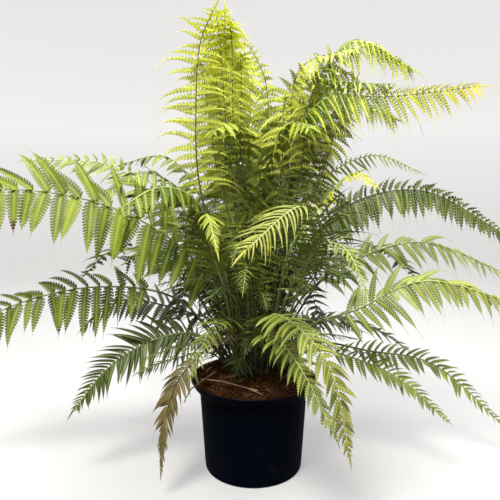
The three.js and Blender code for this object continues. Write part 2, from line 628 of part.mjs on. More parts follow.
function clearPlan(plan, neighbours, siblings, ownStalk) {
  for (const shorten of SHORTER) {
    for (const bend of BENDS) {
      const tried = plan(bend, shorten);
      const root = tried.root.clone().addScaledVector(tried.heading, NECK_LENGTH);
      const outer = { ...tried, root, length: tried.length - NECK_LENGTH };
      const fits = isClear(bladeSolid(tried, CLEARANCE, tried.corners(CLEARANCE)), neighbours)
        && isClear(bladeSolid(tried, SIBLING_CLEARANCE), siblings)
        && isClear(bladeSolid(outer, 0), ownStalk);
      if (fits) return tried;
    }
  }
  return null;
}

// ---- the whole plant ----

const pot = potSolid();
const soil = soilSolid();
let rootstock = rootstockSolid();
const withBox = (solid, owner, kind) => ({ owner, kind, solid, box: solid.boundingBox() });
const standing = [pot, soil, rootstock].map((solid) => withBox(solid, 'pot', 'pot'));

const plants = Object.entries(FRONDS).map(([name, frond]) => {
  const at = midrib(frond);
  const stalkRings = STALK_RINGS.map((share) => at(share * frond.bare));
  const widest = frond.reach * HABITS[frond.habit].widthShare;
  const pinnaRings = [...Array(frond.pairs).keys()].map((i) => {
    const share = (i + FIRST_PINNA) / (frond.pairs + FIRST_PINNA);
    const spread = Math.max(widest * ROOT_SPREAD * pinnaLength(share), LEAST_SPREAD);
    return { share, ring: at(mix(frond.bare, 1, share)), spread };
  });
  const tipRing = at(mix(pinnaRings.at(-1).ring.share, 1, TIP_PLACE));
  const tip = { ring: tipRing, plan: tipPlan(frond, tipRing) };
  rootstock = rootstock.subtract(stalkSolid(stalkRings.slice(0, 2), FIT_GAP));
  const stalk = stalkSolid([...stalkRings, ...pinnaRings.map(({ ring }) => ring), tipRing], 0);
  standing.push(withBox(stalk, name, 'stalk'), withBox(bladeSolid(tip.plan, 0), name, 'tip'));
  return { name, frond, stalkRings, pinnaRings, tip };
});

const random = seededRandom(7);
for (const { name, frond, pinnaRings } of plants) {
  const ownStalk = standing.filter(({ owner, kind }) => owner === name && kind === 'stalk');
  const siblings = standing.filter(({ owner, kind }) => owner === name && kind === 'tip');
  const neighbours = standing.filter(({ owner }) => owner !== name);
  for (const place of pinnaRings) {
    for (const [hand, key] of [[1, 'leftPlan'], [-1, 'rightPlan']]) {
      const plan = clearPlan(pinnaPlan(frond, place, hand, random), neighbours, siblings, ownStalk);
      place[key] = plan;
      if (plan) {
        siblings.push(withBox(bladeSolid(plan, 0), name, 'pinna'));
        standing.push(withBox(bladeSolid(plan, 0, plan.corners(0)), name, 'pinna'));
      }
    }
  }
}

const fern = new THREE.Group();
fern.add(meshOf(pot, 'pot', 'pot', 0.45));
fern.add(meshOf(soil, 'soil', 'soil', 1));
fern.add(meshOf(rootstock, 'rootstock', 'rootstock', 0.95));
for (const plant of plants) {
  fern.add(meshOf(frondSolid(plant), `frond_${plant.name}`, plant.frond.colour, 0.6));
}

export default fern;
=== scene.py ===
"""A fern in a round nursery pot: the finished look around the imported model.

Lengths in the tables and constants are millimetres, as in the part's source, and MM turns
them to metres. The studio's own lengths, at the end, are metres.
"""

import math

import bpy
import numpy as np
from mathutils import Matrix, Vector


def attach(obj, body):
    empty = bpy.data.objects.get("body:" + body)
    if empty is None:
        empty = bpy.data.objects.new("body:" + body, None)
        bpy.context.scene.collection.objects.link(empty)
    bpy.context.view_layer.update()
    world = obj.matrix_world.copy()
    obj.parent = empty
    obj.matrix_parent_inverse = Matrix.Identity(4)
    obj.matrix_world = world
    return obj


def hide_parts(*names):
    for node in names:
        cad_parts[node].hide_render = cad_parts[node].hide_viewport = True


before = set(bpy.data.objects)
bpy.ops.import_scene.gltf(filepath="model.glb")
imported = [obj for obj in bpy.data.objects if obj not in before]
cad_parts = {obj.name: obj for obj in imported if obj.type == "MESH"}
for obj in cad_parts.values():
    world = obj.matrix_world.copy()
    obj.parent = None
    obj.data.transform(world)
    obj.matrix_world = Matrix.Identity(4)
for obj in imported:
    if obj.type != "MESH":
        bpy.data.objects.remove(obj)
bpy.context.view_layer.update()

MM = 0.001
UP = np.array([0.0, 0.0, 1.0])

# ---- the pot and what fills it, as in the part's source ----

POT_HEIGHT = 155
POT_BASE_RADIUS = 82
POT_WALL_RADIUS = 90
POT_RIM_RADIUS = 105
POT_LIP_DEPTH = 19
POT_WALL = 2
POT_FLOOR = 3
LIP_FOOT = POT_HEIGHT - POT_LIP_DEPTH
LIP_SHOULDER = LIP_FOOT + POT_LIP_DEPTH / 4
LIP_RADIUS = POT_WALL_RADIUS + 8
DRAIN_HOLES = 6
DRAIN_HOLE_RADIUS = 6
DRAIN_RING_RADIUS = 58
FIT_GAP = 0.3
SOIL_TOP = 167
SOIL_SHOULDER = (70, 164)  # radius and height
SOIL_EDGE = (102, 152)
ROOTSTOCK_RADIUS = 47
ROOTSTOCK_BOTTOM = 148
STIPE_ROOT_HEIGHT = 160

# ---- the fronds' tables ----

# A habit is how a frond's pinnae, its leaflets, are cut and carried.
# width:  the longest pinna's, as a share of the reach
# cut:    how far the notches reach in to the rib; above half, the pinna has round lobes
# pitch:  rib for each lobe or tooth
# fill:   share of the pitch that a lobe covers
# taper:  power of the outline; tail: share of the length that is a thin tail
# full:   power of the pinnae's lengths toward the frond's tip, where a low one keeps them long
# angles: degrees from the midrib, at the blade's foot and at its tip
# upper:  the same for the pinnae that stand above a steeply tilted blade's midrib
# droop:  how far a pinna bends down; sag: how late along it
# sweep:  its bend toward the frond's tip; curl: how far its edges roll down
HABITS = {
    "plume": dict(width=0.15, cut=0.82, pitch=4.4, fill=0.75, taper=1.5, tail=0.24, full=0.32,
                  angles=(84, 66), upper=(66, 48), droop=1.9, sag=1.9, sweep=0.05, curl=0.2),
    "feather": dict(width=0.24, cut=0.72, pitch=4.4, fill=1, taper=2.4, tail=0.12, full=0.5,
                    angles=(80, 62), upper=(60, 38), droop=1.0, sag=1.2, sweep=0.15, curl=0.3),
    "comb": dict(width=0.13, cut=0.3, pitch=3.0, fill=1, taper=2.2, tail=0.1, full=0.55,
                 angles=(74, 46), upper=(62, 36), droop=0.9, sag=1.1, sweep=0.4, curl=0.3),
}

# What a frond has unless its own row says otherwise.
# tilt:   degrees that turn the blade's face to the front
# facing: the course, in degrees from +X, that the blade looks to; None is the frond's own
# hang:   lowers the pinnae of the frond's left and right hand; slack: none of them stand up
# upper_length: share of their length that those above the midrib keep
# tone:   from shade, 0, to fresh, 1, at the blade's foot and at its tip: low tones are painted shade, high ones painted light, besides the leaf's own age
# yellow: how yellow the tip is; spent: share of the pinnae with dry tips
# stalk:  the stalk's material; stray: spread of the pinnae's angles, in degrees
PLAIN = dict(tilt=0, facing=None, hang=(0, 0), slack=False, upper_length=1, tone=(0.4, 0.65),
             yellow=0, spent=0.06, stalk="dark", stray=6)

# Stand is where the stalk stands on the rootstock, in degrees from +X and radius. Bare is
# the share of the midrib with no pinnae, reach the longest pinna, and pinnae the pairs of
# them. The path runs on from the stand. Other values take the place of the habit's.
FRONDS = {
    "crest_left": dict(
        habit="plume", leaf="lime", stand=(190, 12), bare=0.52, reach=100, pinnae=24, tilt=8, facing=-100,
        hang=(0.05, 0.3), tone=(-0.4, 1.2), width=0.15, pitch=5, taper=1.1, tail=0.3, full=0.42, sag=2.6,
        path=[(-85, -30, 480), (-85, -60, 595), (-75, -95, 668), (-50, -145, 702)]),
    "crest_middle": dict(
        habit="plume", leaf="lime", stand=(250, 12), bare=0.5, reach=96, pinnae=28, facing=-80,
        hang=(0.35, 0.5), tone=(-0.5, 1.2), width=0.22, pitch=5, full=0.45,
        path=[(-45, 0, 495), (-38, -10, 605), (-42, -45, 690), (-40, -105, 712)]),
    "crest_back": dict(
        habit="plume", leaf="lime", stand=(100, 12), bare=0.44, reach=92, pinnae=24, facing=80,
        hang=(0.5, 0.5), tone=(-0.4, 0.95), width=0.22, pitch=5, full=0.45,
        path=[(-20, 60, 490), (-5, 80, 605), (-15, 100, 690), (-35, 140, 725)]),
    "crest_right": dict(
        habit="plume", leaf="lime", stand=(0, 0), bare=0.54, reach=64, pinnae=22, facing=-70,
        hang=(0.4, 0.5), tone=(-0.3, 0.5), width=0.22, pitch=5, full=0.7,
        path=[(5, 0, 485), (22, 0, 560), (18, -10, 635), (-12, -40, 688)]),
    "spire_right": dict(
        habit="plume", leaf="lime", stalk="pale", stand=(20, 12), bare=0.55, reach=92, pinnae=32, tilt=40,
        hang=(0.5, 0.5), slack=True, tone=(-0.1, 0.5), width=0.15, angles=(74, 34), droop=1.6, sag=1.4,
        path=[(70, 0, 495), (80, -10, 575), (110, -40, 655), (148, -72, 678), (222, -100, 632)]),
    "arm_right": dict(
        habit="plume", leaf="lime", stalk="pale", stand=(320, 12), bare=0.58, reach=84, pinnae=34,
        tilt=62, hang=(0, 0.5), upper_length=0.5, tone=(0, 0.5), yellow=0.6, width=0.14, angles=(72, 32),
        upper=(60, 26), droop=1.2,
        path=[(55, -20, 480), (65, -40, 555), (110, -75, 600), (180, -100, 595), (305, -125, 605)]),
    "arm_back": dict(
        habit="plume", leaf="lime", stalk="pale", stand=(40, 22), bare=0.5, reach=84, pinnae=34, tilt=50,
        hang=(0.35, 0.35), slack=True, tone=(-0.2, 0.35), width=0.15, angles=(76, 36), droop=1.4,
        path=[(80, 42, 500), (88, 52, 580), (125, 36, 618), (225, -15, 575)]),
    "inner_right": dict(
        habit="feather", leaf="green", stand=(58, 14), bare=0.5, reach=80, pinnae=18, facing=-40,
        hang=(0.6, 0.4), slack=True, tone=(0.2, 0.9), width=0.18,
        path=[(60, 20, 470), (85, 24, 535), (115, 22, 575), (160, 0, 555)]),
    "inner_centre": dict(
        habit="feather", leaf="green", stand=(321, 27), bare=0.45, reach=80, pinnae=20, tilt=35,
        facing=-60, hang=(0.6, 0.4), slack=True, tone=(0.3, 1), width=0.2,
        path=[(15, -20, 465), (30, -35, 525), (48, -62, 562), (82, -112, 552)]),
    "inner_middle": dict(
        habit="feather", leaf="green", stand=(245, 22), bare=0.45, reach=80, pinnae=20, facing=-100,
        hang=(0.4, 0.4), tone=(0.4, 1), width=0.2,
        path=[(-30, -20, 465), (-20, -40, 525), (-30, -75, 560), (-60, -130, 545)]),
    "inner_left": dict(
        habit="feather", leaf="green", stand=(140, 14), bare=0.46, reach=60, pinnae=20, tilt=15,
        hang=(0.3, 0.3), tone=(0.1, 0.55), width=0.2,
        path=[(-45, 20, 350), (-90, 30, 455), (-145, 40, 520), (-235, 45, 505)]),
    "bough_left": dict(
        habit="feather", leaf="green", stand=(126, 33), bare=0.46, reach=66, pinnae=18, tilt=20,
        hang=(0.3, 0.3), tone=(0.15, 0.55), width=0.22,
        path=[(-68, 44, 340), (-124, 16, 468), (-180, -26, 492), (-240, -70, 445)]),
    "right_high": dict(
        habit="comb", leaf="pale", stalk="pale", stand=(56, 33), bare=0.42, reach=52, pinnae=34, tilt=50,
        hang=(0, 0.6), upper_length=0.3, width=0.13,
        path=[(64, 42, 380), (118, 64, 480), (210, 80, 525), (300, 90, 495)]),
    "right_front": dict(
        habit="feather", leaf="lime", stalk="pale", stand=(313, 33), bare=0.46, reach=36, pinnae=26,
        tilt=35, hang=(0.3, 0.3), tone=(-0.5, 0.9), yellow=0.5, width=0.24, droop=1.4,
        path=[(55, -60, 375), (110, -90, 460), (140, -110, 490), (165, -150, 470)]),
    "right_wide": dict(
        habit="feather", leaf="olive", stand=(340, 22), bare=0.34, reach=70, pinnae=44, tilt=55,
        hang=(0, 0.5), upper_length=0.5, tone=(0, 0.5), width=0.22, tail=0.2, full=0.4, upper=(75, 50),
        droop=1.5,
        path=[(60, -10, 335), (145, -30, 440), (250, -60, 465), (370, -90, 400)]),
    "right_middle": dict(
        habit="feather", leaf="pale", stalk="pale", stand=(14, 22), bare=0.34, reach=84, pinnae=24,
        tilt=45, hang=(0.45, 0.45), slack=True, tone=(0.35, 0.85), width=0.17, tail=0.25, angles=(64, 32),
        path=[(80, 20, 280), (165, 40, 340), (290, 50, 375), (455, 60, 315)]),
    "right_low": dict(
        habit="feather", leaf="pale", stalk="pale", stand=(332, 33), bare=0.36, reach=92, pinnae=25,
        tilt=50, hang=(0.5, 0.5), slack=True, tone=(0.35, 0.85), width=0.16, tail=0.25, angles=(60, 30),
        path=[(90, -22, 245), (165, -30, 275), (265, -50, 325), (415, -80, 290)]),
    "right_skirt": dict(
        habit="comb", leaf="dark", stand=(5, 33), bare=0.32, reach=60, pinnae=24, tilt=10, width=0.15,
        path=[(65, 2, 230), (125, 0, 255), (195, -10, 240), (255, -20, 205)]),
    "floor_right_front": dict(
        habit="comb", leaf="green", stalk="pale", stand=(350, 33), bare=0.34, reach=42, pinnae=26,
        tilt=45, tone=(0.4, 0.75), width=0.25, cut=0.56, pitch=3.6,
        path=[(95, -8, 200), (185, -5, 180), (250, -20, 150), (315, -50, 95)]),
    "floor_right_back": dict(
        habit="comb", leaf="green", stalk="pale", stand=(20, 33), bare=0.34, reach=46, pinnae=30, tilt=45,
        tone=(0.4, 0.75), width=0.25, cut=0.56, pitch=3.6,
        path=[(95, 27, 202), (205, 40, 184), (310, 30, 165), (435, 0, 60)]),
    "front_right": dict(
        habit="comb", leaf="pale", stalk="pale", stand=(292, 33), bare=0.25, reach=62, pinnae=32,
        tone=(0.1, 0.45), yellow=0.3, width=0.2, cut=0.56, pitch=3.6, angles=(78, 42), sweep=0.6,
        path=[(20, -100, 280), (50, -175, 292), (90, -240, 255), (115, -255, 145)]),
    "front_right_low": dict(
        habit="comb", leaf="pale", stalk="pale", stand=(275, 33), bare=0.28, reach=54, pinnae=28,
        tone=(0.1, 0.45), width=0.2, cut=0.56, pitch=3.6, angles=(78, 42), sweep=0.6,
        path=[(5, -95, 250), (32, -150, 262), (62, -205, 235), (100, -245, 165)]),
    "front_middle": dict(
        habit="comb", leaf="pale", stalk="pale", stand=(277, 25), bare=0.42, reach=84, pinnae=44,
        tone=(-0.1, 0.3), yellow=0.2, width=0.055, full=0.4, angles=(80, 50), sweep=0.7,
        path=[(60, -80, 330), (92, -150, 402), (58, -205, 447), (-13, -268, 398)]),
    "front_right_high": dict(
        habit="comb", leaf="pale", stalk="pale", stand=(305, 22), bare=0.46, reach=46, pinnae=26,
        path=[(54, -100, 290), (84, -158, 392), (112, -200, 395), (135, -235, 345)]),
    "front_left_high": dict(
        habit="comb", leaf="green", stalk="pale", stand=(238, 33), bare=0.46, reach=60, pinnae=36,
        tone=(0.3, 0.75), yellow=0.15, width=0.12, full=0.7, angles=(54, 32),
        path=[(-45, -70, 315), (-70, -130, 420), (-60, -180, 435), (-45, -230, 395)]),
    "front_low": dict(
        habit="comb", leaf="olive", stand=(255, 33), bare=0.3, reach=48, pinnae=24,
        path=[(-30, -78, 268), (-50, -128, 280), (-68, -170, 262), (-84, -205, 225)]),
    "left_wide": dict(
        habit="feather", leaf="green", stalk="pale", stand=(200, 22), bare=0.26, reach=106, pinnae=23,
        tilt=66, hang=(0.3, 0), tone=(0.4, 0.75), yellow=0.1, spent=0.2, width=0.28, cut=0.84, taper=2.4,
        tail=0.14, full=0.35, angles=(92, 84), stray=9,
        path=[(-80, -20, 335), (-180, -60, 425), (-310, -100, 465), (-500, -120, 455)]),
    "left_high": dict(
        habit="feather", leaf="pale", stalk="pale", stand=(155, 22), bare=0.36, reach=70, pinnae=24,
        tilt=50, upper_length=0.55, tone=(0.3, 0.6), width=0.2, angles=(66, 44), upper=(80, 50),
        sweep=0.4,
        path=[(-95, 20, 365), (-170, 30, 455), (-235, 40, 505), (-380, 30, 515)]),
    "left_front": dict(
        habit="feather", leaf="green", stalk="pale", stand=(225, 22), bare=0.44, reach=84, pinnae=16,
        tilt=15, hang=(0.6, 0.6), tone=(0.2, 0.5),
        path=[(-55, -40, 375), (-90, -80, 455), (-130, -120, 470), (-180, -170, 440)]),
    "left_low": dict(
        habit="feather", leaf="green", stalk="pale", stand=(178, 33), bare=0.36, reach=92, pinnae=22,
        tilt=55, hang=(0.7, 0), upper_length=0.7, tone=(0.25, 0.6), spent=0.2, width=0.23, cut=0.84,
        taper=2.4, tail=0.12, angles=(86, 74), upper=(56, 34), droop=1.7, stray=12,
        path=[(-120, -10, 285), (-250, -30, 312), (-400, -50, 276), (-500, -60, 205)]),
    "left_skirt": dict(
        habit="feather", leaf="dark", stand=(160, 33), bare=0.3, reach=62, pinnae=20, tilt=30,
        hang=(0.4, 0.2),
        path=[(-90, 25, 245), (-160, 30, 270), (-230, 40, 275), (-305, 50, 220)]),
    "floor_left": dict(
        habit="comb", leaf="olive", stalk="pale", stand=(195, 33), bare=0.3, reach=72, pinnae=34, tilt=55,
        tone=(-0.15, 0.2), width=0.16,
        path=[(-90, -18, 230), (-155, -20, 225), (-230, -40, 185), (-285, -60, 120)]),
    "spent_left": dict(
        habit="comb", leaf="brown", stand=(222, 33), bare=0.4, reach=46, pinnae=26, tilt=25,
        hang=(0.3, 0.3), width=0.2, full=0.8, angles=(76, 36), droop=1.6,
        path=[(-60, -60, 225), (-105, -100, 195), (-130, -110, 135), (-140, -110, 40)]),
    "heart_left": dict(
        habit="comb", leaf="dark", stand=(178, 22), bare=0.42, reach=44, pinnae=26, tilt=20, width=0.1,
        path=[(-50, -2, 250), (-85, -4, 312), (-125, -10, 340), (-170, -22, 330)]),
    "heart_right": dict(
        habit="comb", leaf="dark", stand=(356, 17), bare=0.42, reach=44, pinnae=26, tilt=20, width=0.1,
        path=[(50, 3, 270), (86, 5, 335), (130, 0, 355), (180, -15, 335)]),
    "heart_front": dict(
        habit="comb", leaf="olive", stand=(290, 16), bare=0.42, reach=42, pinnae=26, width=0.1,
        path=[(2, -55, 280), (-4, -95, 345), (-10, -135, 360), (-15, -180, 335)]),
    "back_left": dict(
        habit="feather", leaf="dark", stand=(120, 22), bare=0.4, reach=80, pinnae=18,
        path=[(-65, 60, 345), (-145, 120, 445), (-205, 190, 465), (-280, 260, 380)]),
    "back_right": dict(
        habit="feather", leaf="dark", stand=(65, 22), bare=0.4, reach=80, pinnae=18,
        path=[(42, 72, 345), (95, 125, 445), (145, 190, 465), (210, 270, 355)]),
    "back_middle": dict(
        habit="feather", leaf="green", stand=(92, 22), bare=0.4, reach=80, pinnae=18,
        path=[(-5, 80, 340), (-15, 150, 465), (-25, 220, 485), (-40, 300, 375)]),
    "back_wide_left": dict(
        habit="feather", leaf="green", stand=(140, 33), bare=0.36, reach=76, pinnae=18,
        path=[(-110, 70, 290), (-200, 130, 345), (-280, 190, 345), (-360, 240, 280)]),
    "back_wide_right": dict(
        habit="feather", leaf="green", stand=(42, 33), bare=0.36, reach=76, pinnae=18,
        path=[(110, 70, 290), (200, 140, 345), (275, 200, 340), (350, 250, 275)]),
    "back_low_left": dict(
        habit="feather", leaf="dark", stand=(112, 33), bare=0.34, reach=64, pinnae=16,
        path=[(-50, 100, 260), (-105, 160, 290), (-140, 220, 255), (-180, 270, 155)]),
    "back_low_right": dict(
        habit="feather", leaf="dark", stand=(70, 33), bare=0.34, reach=64, pinnae=16,
        path=[(50, 100, 260), (80, 160, 290), (120, 220, 255), (150, 270, 155)]),
}

# Leaf colours, linear: the blade in painted shade, the blade painted lit at its freshest, and underneath;
# and the share of light that passes through.
LEAVES = {
    "lime": ((0.03, 0.11, 0.008), (0.81, 0.83, 0.08), (0.70, 0.72, 0.09), 0.48),
    "green": ((0.06, 0.10, 0.006), (0.28, 0.345, 0.022), (0.20, 0.24, 0.03), 0.36),
    "pale": ((0.13, 0.17, 0.018), (0.40, 0.45, 0.09), (0.32, 0.36, 0.09), 0.36),
    "olive": ((0.035, 0.055, 0.005), (0.175, 0.225, 0.018), (0.18, 0.21, 0.035), 0.3),
    "dark": ((0.018, 0.034, 0.005), (0.09, 0.132, 0.018), (0.10, 0.13, 0.03), 0.25),
    "brown": ((0.05, 0.036, 0.014), (0.24, 0.185, 0.055), (0.2, 0.155, 0.06), 0.3),
}
YELLOWED_LEAF = (0.78, 0.62, 0.04)
DRIED_LEAF = (0.09, 0.045, 0.018)

# Stalk colours, linear: at the foot, in the middle and at the tip.
STALKS = {
    "dark": ((0.03, 0.018, 0.01), (0.06, 0.05, 0.02), (0.16, 0.2, 0.05)),
    "pale": ((0.05, 0.04, 0.015), (0.22, 0.27, 0.08), (0.42, 0.48, 0.16)),
}
FALLEN_STALK = ((0.05, 0.03, 0.015), (0.19, 0.12, 0.05), (0.2, 0.14, 0.06))
ROOTSTOCK = ((0.012, 0.007, 0.004), (0.05, 0.026, 0.012), (0.1, 0.06, 0.03))

POT_BLACK = (0.0008, 0.0018, 0.0055)
POT_DUST = (0.05, 0.038, 0.03)
# Coir colours, linear: painted shade in its hollows, its brown, kept dark partly as painted shade under the
# fronds, its light specks and its loose strands.
COIR_SHADE = (0.004, 0.002, 0.001)
COIR_BROWN = (0.036, 0.0125, 0.0035)
COIR_SPECK = (0.15, 0.06, 0.016)
COIR_STRAND = (0.12, 0.05, 0.014)


# ---- small helpers ----

def unit(v):
    return v / np.linalg.norm(v, axis=-1, keepdims=True)


def turned(v, axis, angle):
    """v turned about a unit axis."""
    return (v * math.cos(angle) + np.cross(axis, v) * math.sin(angle)
            + axis * (axis @ v) * (1 - math.cos(angle)))


def mix(a, b, share):
    return a + (b - a) * share


def course(angle):
    """The level direction at an angle from +X, in radians."""
    return np.array([math.cos(angle), math.sin(angle), 0])


class Skin:
    """Triangles with values at their points, gathered into one mesh."""

    def __init__(self, *values):
        self.points, self.triangles, self.under = [], [], []
        self.values = {name: [] for name in values}
        self.count = 0

    def add(self, points, triangles, under=None, **values):
        self.points.append(points)
        self.triangles.append(np.asarray(triangles) + self.count)
        self.under.append(np.zeros(len(triangles)) if under is None else under)
        for name, held in self.values.items():
            held.append(np.broadcast_to(values.get(name, 0.0), len(points)))
        self.count += len(points)

    def object(self, name, material):
        points, triangles = np.vstack(self.points), np.vstack(self.triangles)
        corners = 3 * len(triangles)
        mesh = bpy.data.meshes.new(name)
        mesh.vertices.add(len(points))
        mesh.vertices.foreach_set("co", points.astype(np.float32).ravel())
        mesh.loops.add(corners)
        mesh.loops.foreach_set("vertex_index", triangles.astype(np.int32).ravel())
        mesh.polygons.add(len(triangles))
        mesh.polygons.foreach_set("loop_start", np.arange(0, corners, 3, dtype=np.int32))
        mesh.update(calc_edges=True)
        mesh.shade_smooth()
        under = np.concatenate(self.under)
        if under.any():
            self.mark_underside(mesh, under)
        for key, held in self.values.items():
            layer = mesh.attributes.new(key, "FLOAT", "POINT")
            layer.data.foreach_set("value", np.concatenate(held).astype(np.float32))
        mesh.materials.append(material)
        made = bpy.data.objects.new(name, mesh)
        bpy.context.scene.collection.objects.link(made)
        return made

    @staticmethod
    def mark_underside(mesh, under):
        """Keeps which faces lie underneath, with a sharp edge all round them."""
        edge_of_loop = np.empty(len(mesh.loops), np.int32)
        mesh.loops.foreach_get("edge_index", edge_of_loop)
        sides = np.bincount(edge_of_loop, np.repeat(under, 3), minlength=len(mesh.edges))
        mesh.edges.foreach_set("use_edge_sharp", sides == 1)
        mesh.attributes.new("under", "FLOAT", "FACE").data.foreach_set("value", under.astype(np.float32))


def ring_triangles(count, sides):
    """Walls between rings of points, and a fan at each end about the two points that come last."""
    i, k = np.divmod(np.arange((count - 1) * sides), sides)
    a, b = i * sides + k, i * sides + (k + 1) % sides
    k = np.arange(sides)
    foot, head, last = count * sides, count * sides + 1, (count - 1) * sides
    return np.vstack([
        np.stack([a, b, b + sides], 1), np.stack([a, b + sides, a + sides], 1),
        np.stack([np.full(sides, foot), (k + 1) % sides, k], 1),
        np.stack([np.full(sides, head), last + k, last + (k + 1) % sides], 1)])


def tube(skin, points, radii, sides=7, **values):
    """A closed round tube along points, with a radius at each."""
    points, radii = np.asarray(points, float), np.broadcast_to(radii, len(points))
    forward = unit(np.gradient(points, axis=0))
    start = np.array([1.0, 0, 0]) if abs(forward[0][2]) > 0.7 else UP
    side = unit(np.cross(forward[0], start))
    angle = np.arange(sides) * 2 * math.pi / sides
    rings = []
    for point, direction, radius in zip(points, forward, radii):
        side = unit(side - direction * (side @ direction))
        other = np.cross(direction, side)
        rings.append(point + radius * (np.outer(np.cos(angle), side) + np.outer(np.sin(angle), other)))
    along = {key: np.broadcast_to(value, len(points)) for key, value in values.items()}
    spread = {key: np.concatenate([np.repeat(v, sides), v[[0, -1]]]) for key, v in along.items()}
    skin.add(np.vstack(rings + [points[0], points[-1]]), ring_triangles(len(points), sides), **spread)


def lathe(profile, sides):
    """Points of a closed solid of revolution from [radius, height] corners that start and end on
    the axis, and its triangles."""
    profile = np.array(profile, float) * MM
    inner = profile[1:-1]
    angle = np.arange(sides) * 2 * math.pi / sides
    rings = np.stack([np.outer(inner[:, 0], np.cos(angle)), np.outer(inner[:, 0], np.sin(angle)),
                      np.repeat(inner[:, 1:], sides, 1)], -1)
    ends = np.array([[0, 0, profile[0, 1]], [0, 0, profile[-1, 1]]])
    return np.vstack([rings.reshape(-1, 3), ends]), ring_triangles(len(inner), sides)


def rounded(corners, radius, steps=4):
    """The profile with its inner corners rounded."""
    out = [corners[0]]
    for before, corner, after in zip(corners, corners[1:], corners[2:]):
        before, corner, after = (np.array(p, float) for p in (before, corner, after))
        reach = min(radius, 0.45 * np.linalg.norm(before - corner), 0.45 * np.linalg.norm(after - corner))
        start, end = corner + unit(before - corner) * reach, corner + unit(after - corner) * reach
        for s in np.linspace(0, 1, steps):
            out.append((1 - s) ** 2 * start + 2 * s * (1 - s) * corner + s * s * end)
    return out + [corners[-1]]


def waves(x, y, random, count=26):
    """Smooth seeded bumpiness over a plane, about -1 to 1."""
    total = np.zeros(np.shape(x))
    for _ in range(count):
        pitch, turn = random.uniform(90, 520), random.uniform(0, math.pi)
        phase = random.uniform(0, 2 * math.pi)
        total = total + np.sin((x * math.cos(turn) + y * math.sin(turn)) * pitch + phase) * 90 / pitch
    return total / 3


# ---- node materials ----

class Nodes:
    """A material's nodes, written as expressions."""

    def __init__(self, name):
        self.material = bpy.data.materials.new(name)
        self.material.use_nodes = True
        self.tree = self.material.node_tree
        self.tree.nodes.clear()
        self.output = self.tree.nodes.new("ShaderNodeOutputMaterial")

    def add(self, kind, inputs=(), **settings):
        node = self.tree.nodes.new("ShaderNode" + kind)
        for key, value in settings.items():
            setattr(node, key, value)
        for key, value in dict(inputs).items():
            if isinstance(value, bpy.types.NodeSocket):
                self.tree.links.new(value, node.inputs[key])
            else:
                node.inputs[key].default_value = value
        return node

    def value(self, name):
        return self.add("Attribute", attribute_name=name).outputs["Fac"]

    def place(self):
        return self.add("TexCoord").outputs["Object"]

    def axis(self, name):
        return self.add("SeparateXYZ", {0: self.place()}).outputs[name]

    def math(self, operation, a, b=0.0, clamp=False):
        return self.add("Math", {0: a, 1: b}, operation=operation, use_clamp=clamp).outputs[0]

    def range(self, value, low, high, to_low=0.0, to_high=1.0):
        return self.add("MapRange", {"Value": value, "From Min": low, "From Max": high,
                                     "To Min": to_low, "To Max": to_high}).outputs[0]

    def mix(self, share, a, b, **settings):
        a, b = ((*c, 1.0) if isinstance(c, tuple) else c for c in (a, b))
        return self.add("Mix", {0: share, 6: a, 7: b}, data_type="RGBA", **settings).outputs[2]

    def noise(self, scale, detail=4.0, roughness=0.55):
        inputs = {"Vector": self.place(), "Scale": scale, "Detail": detail, "Roughness": roughness}
        return self.add("TexNoise", inputs).outputs["Fac"]

    def bump(self, height, strength, distance):
        inputs = {"Height": height, "Strength": strength, "Distance": distance}
        return self.add("Bump", inputs).outputs[0]

    def finish(self, shader):
        self.tree.links.new(shader.outputs[0], self.output.inputs["Surface"])
        return self.material


def leaf_material(name, deep, fresh, beneath, through_share):
    n = Nodes(name)
    mottle = n.range(n.noise(45.0), 0.3, 0.7, -0.18, 0.18)
    tone = n.math("ADD", n.value("tone"), mottle, clamp=True)
    # The blade mixes a painted shade colour, deep, and a painted lit colour, fresh, by its tone; the mottle
    # is the leaf's own.
    blade = n.mix(tone, deep, fresh)
    rib = n.range(n.value("across"), 0.04, 0.22, 0.55, 0.0)
    ribbed = n.mix(rib, blade, tuple(min(1.0, 1.25 * c + 0.05) for c in fresh))
    turned_over = n.mix(n.math("MULTIPLY", n.value("under"), 0.6), ribbed, beneath)
    yellowed = n.mix(n.value("yellow"), turned_over, YELLOWED_LEAF)
    dried = n.mix(n.value("dry"), yellowed, DRIED_LEAF)
    inputs = {"Base Color": dried, "Roughness": n.range(mottle, -0.18, 0.18, 0.38, 0.52),
              "Specular IOR Level": 0.3, "Normal": n.bump(n.noise(900.0, 2.0), 0.25, 0.0004)}
    front = n.add("BsdfPrincipled", inputs)
    through = n.add("BsdfTranslucent", {"Color": dried})
    return n.finish(n.add("MixShader", {0: through_share, 1: front.outputs[0], 2: through.outputs[0]}))


def stalk_material(name, foot, middle, tip):
    n = Nodes(name)
    along = n.value("along")
    lower = n.mix(n.range(along, 0.05, 0.45), foot, middle)
    whole = n.mix(n.range(along, 0.55, 0.98), lower, tip)
    streaks = n.range(n.noise(160.0, 3.0), 0.35, 0.7, 0.7, 1.15)
    shaded = n.mix(1.0, whole, streaks, blend_type="MULTIPLY")
    inputs = {"Base Color": shaded, "Roughness": 0.5, "Normal": n.bump(n.noise(500.0), 0.3, 0.0005)}
    return n.finish(n.add("BsdfPrincipled", inputs))


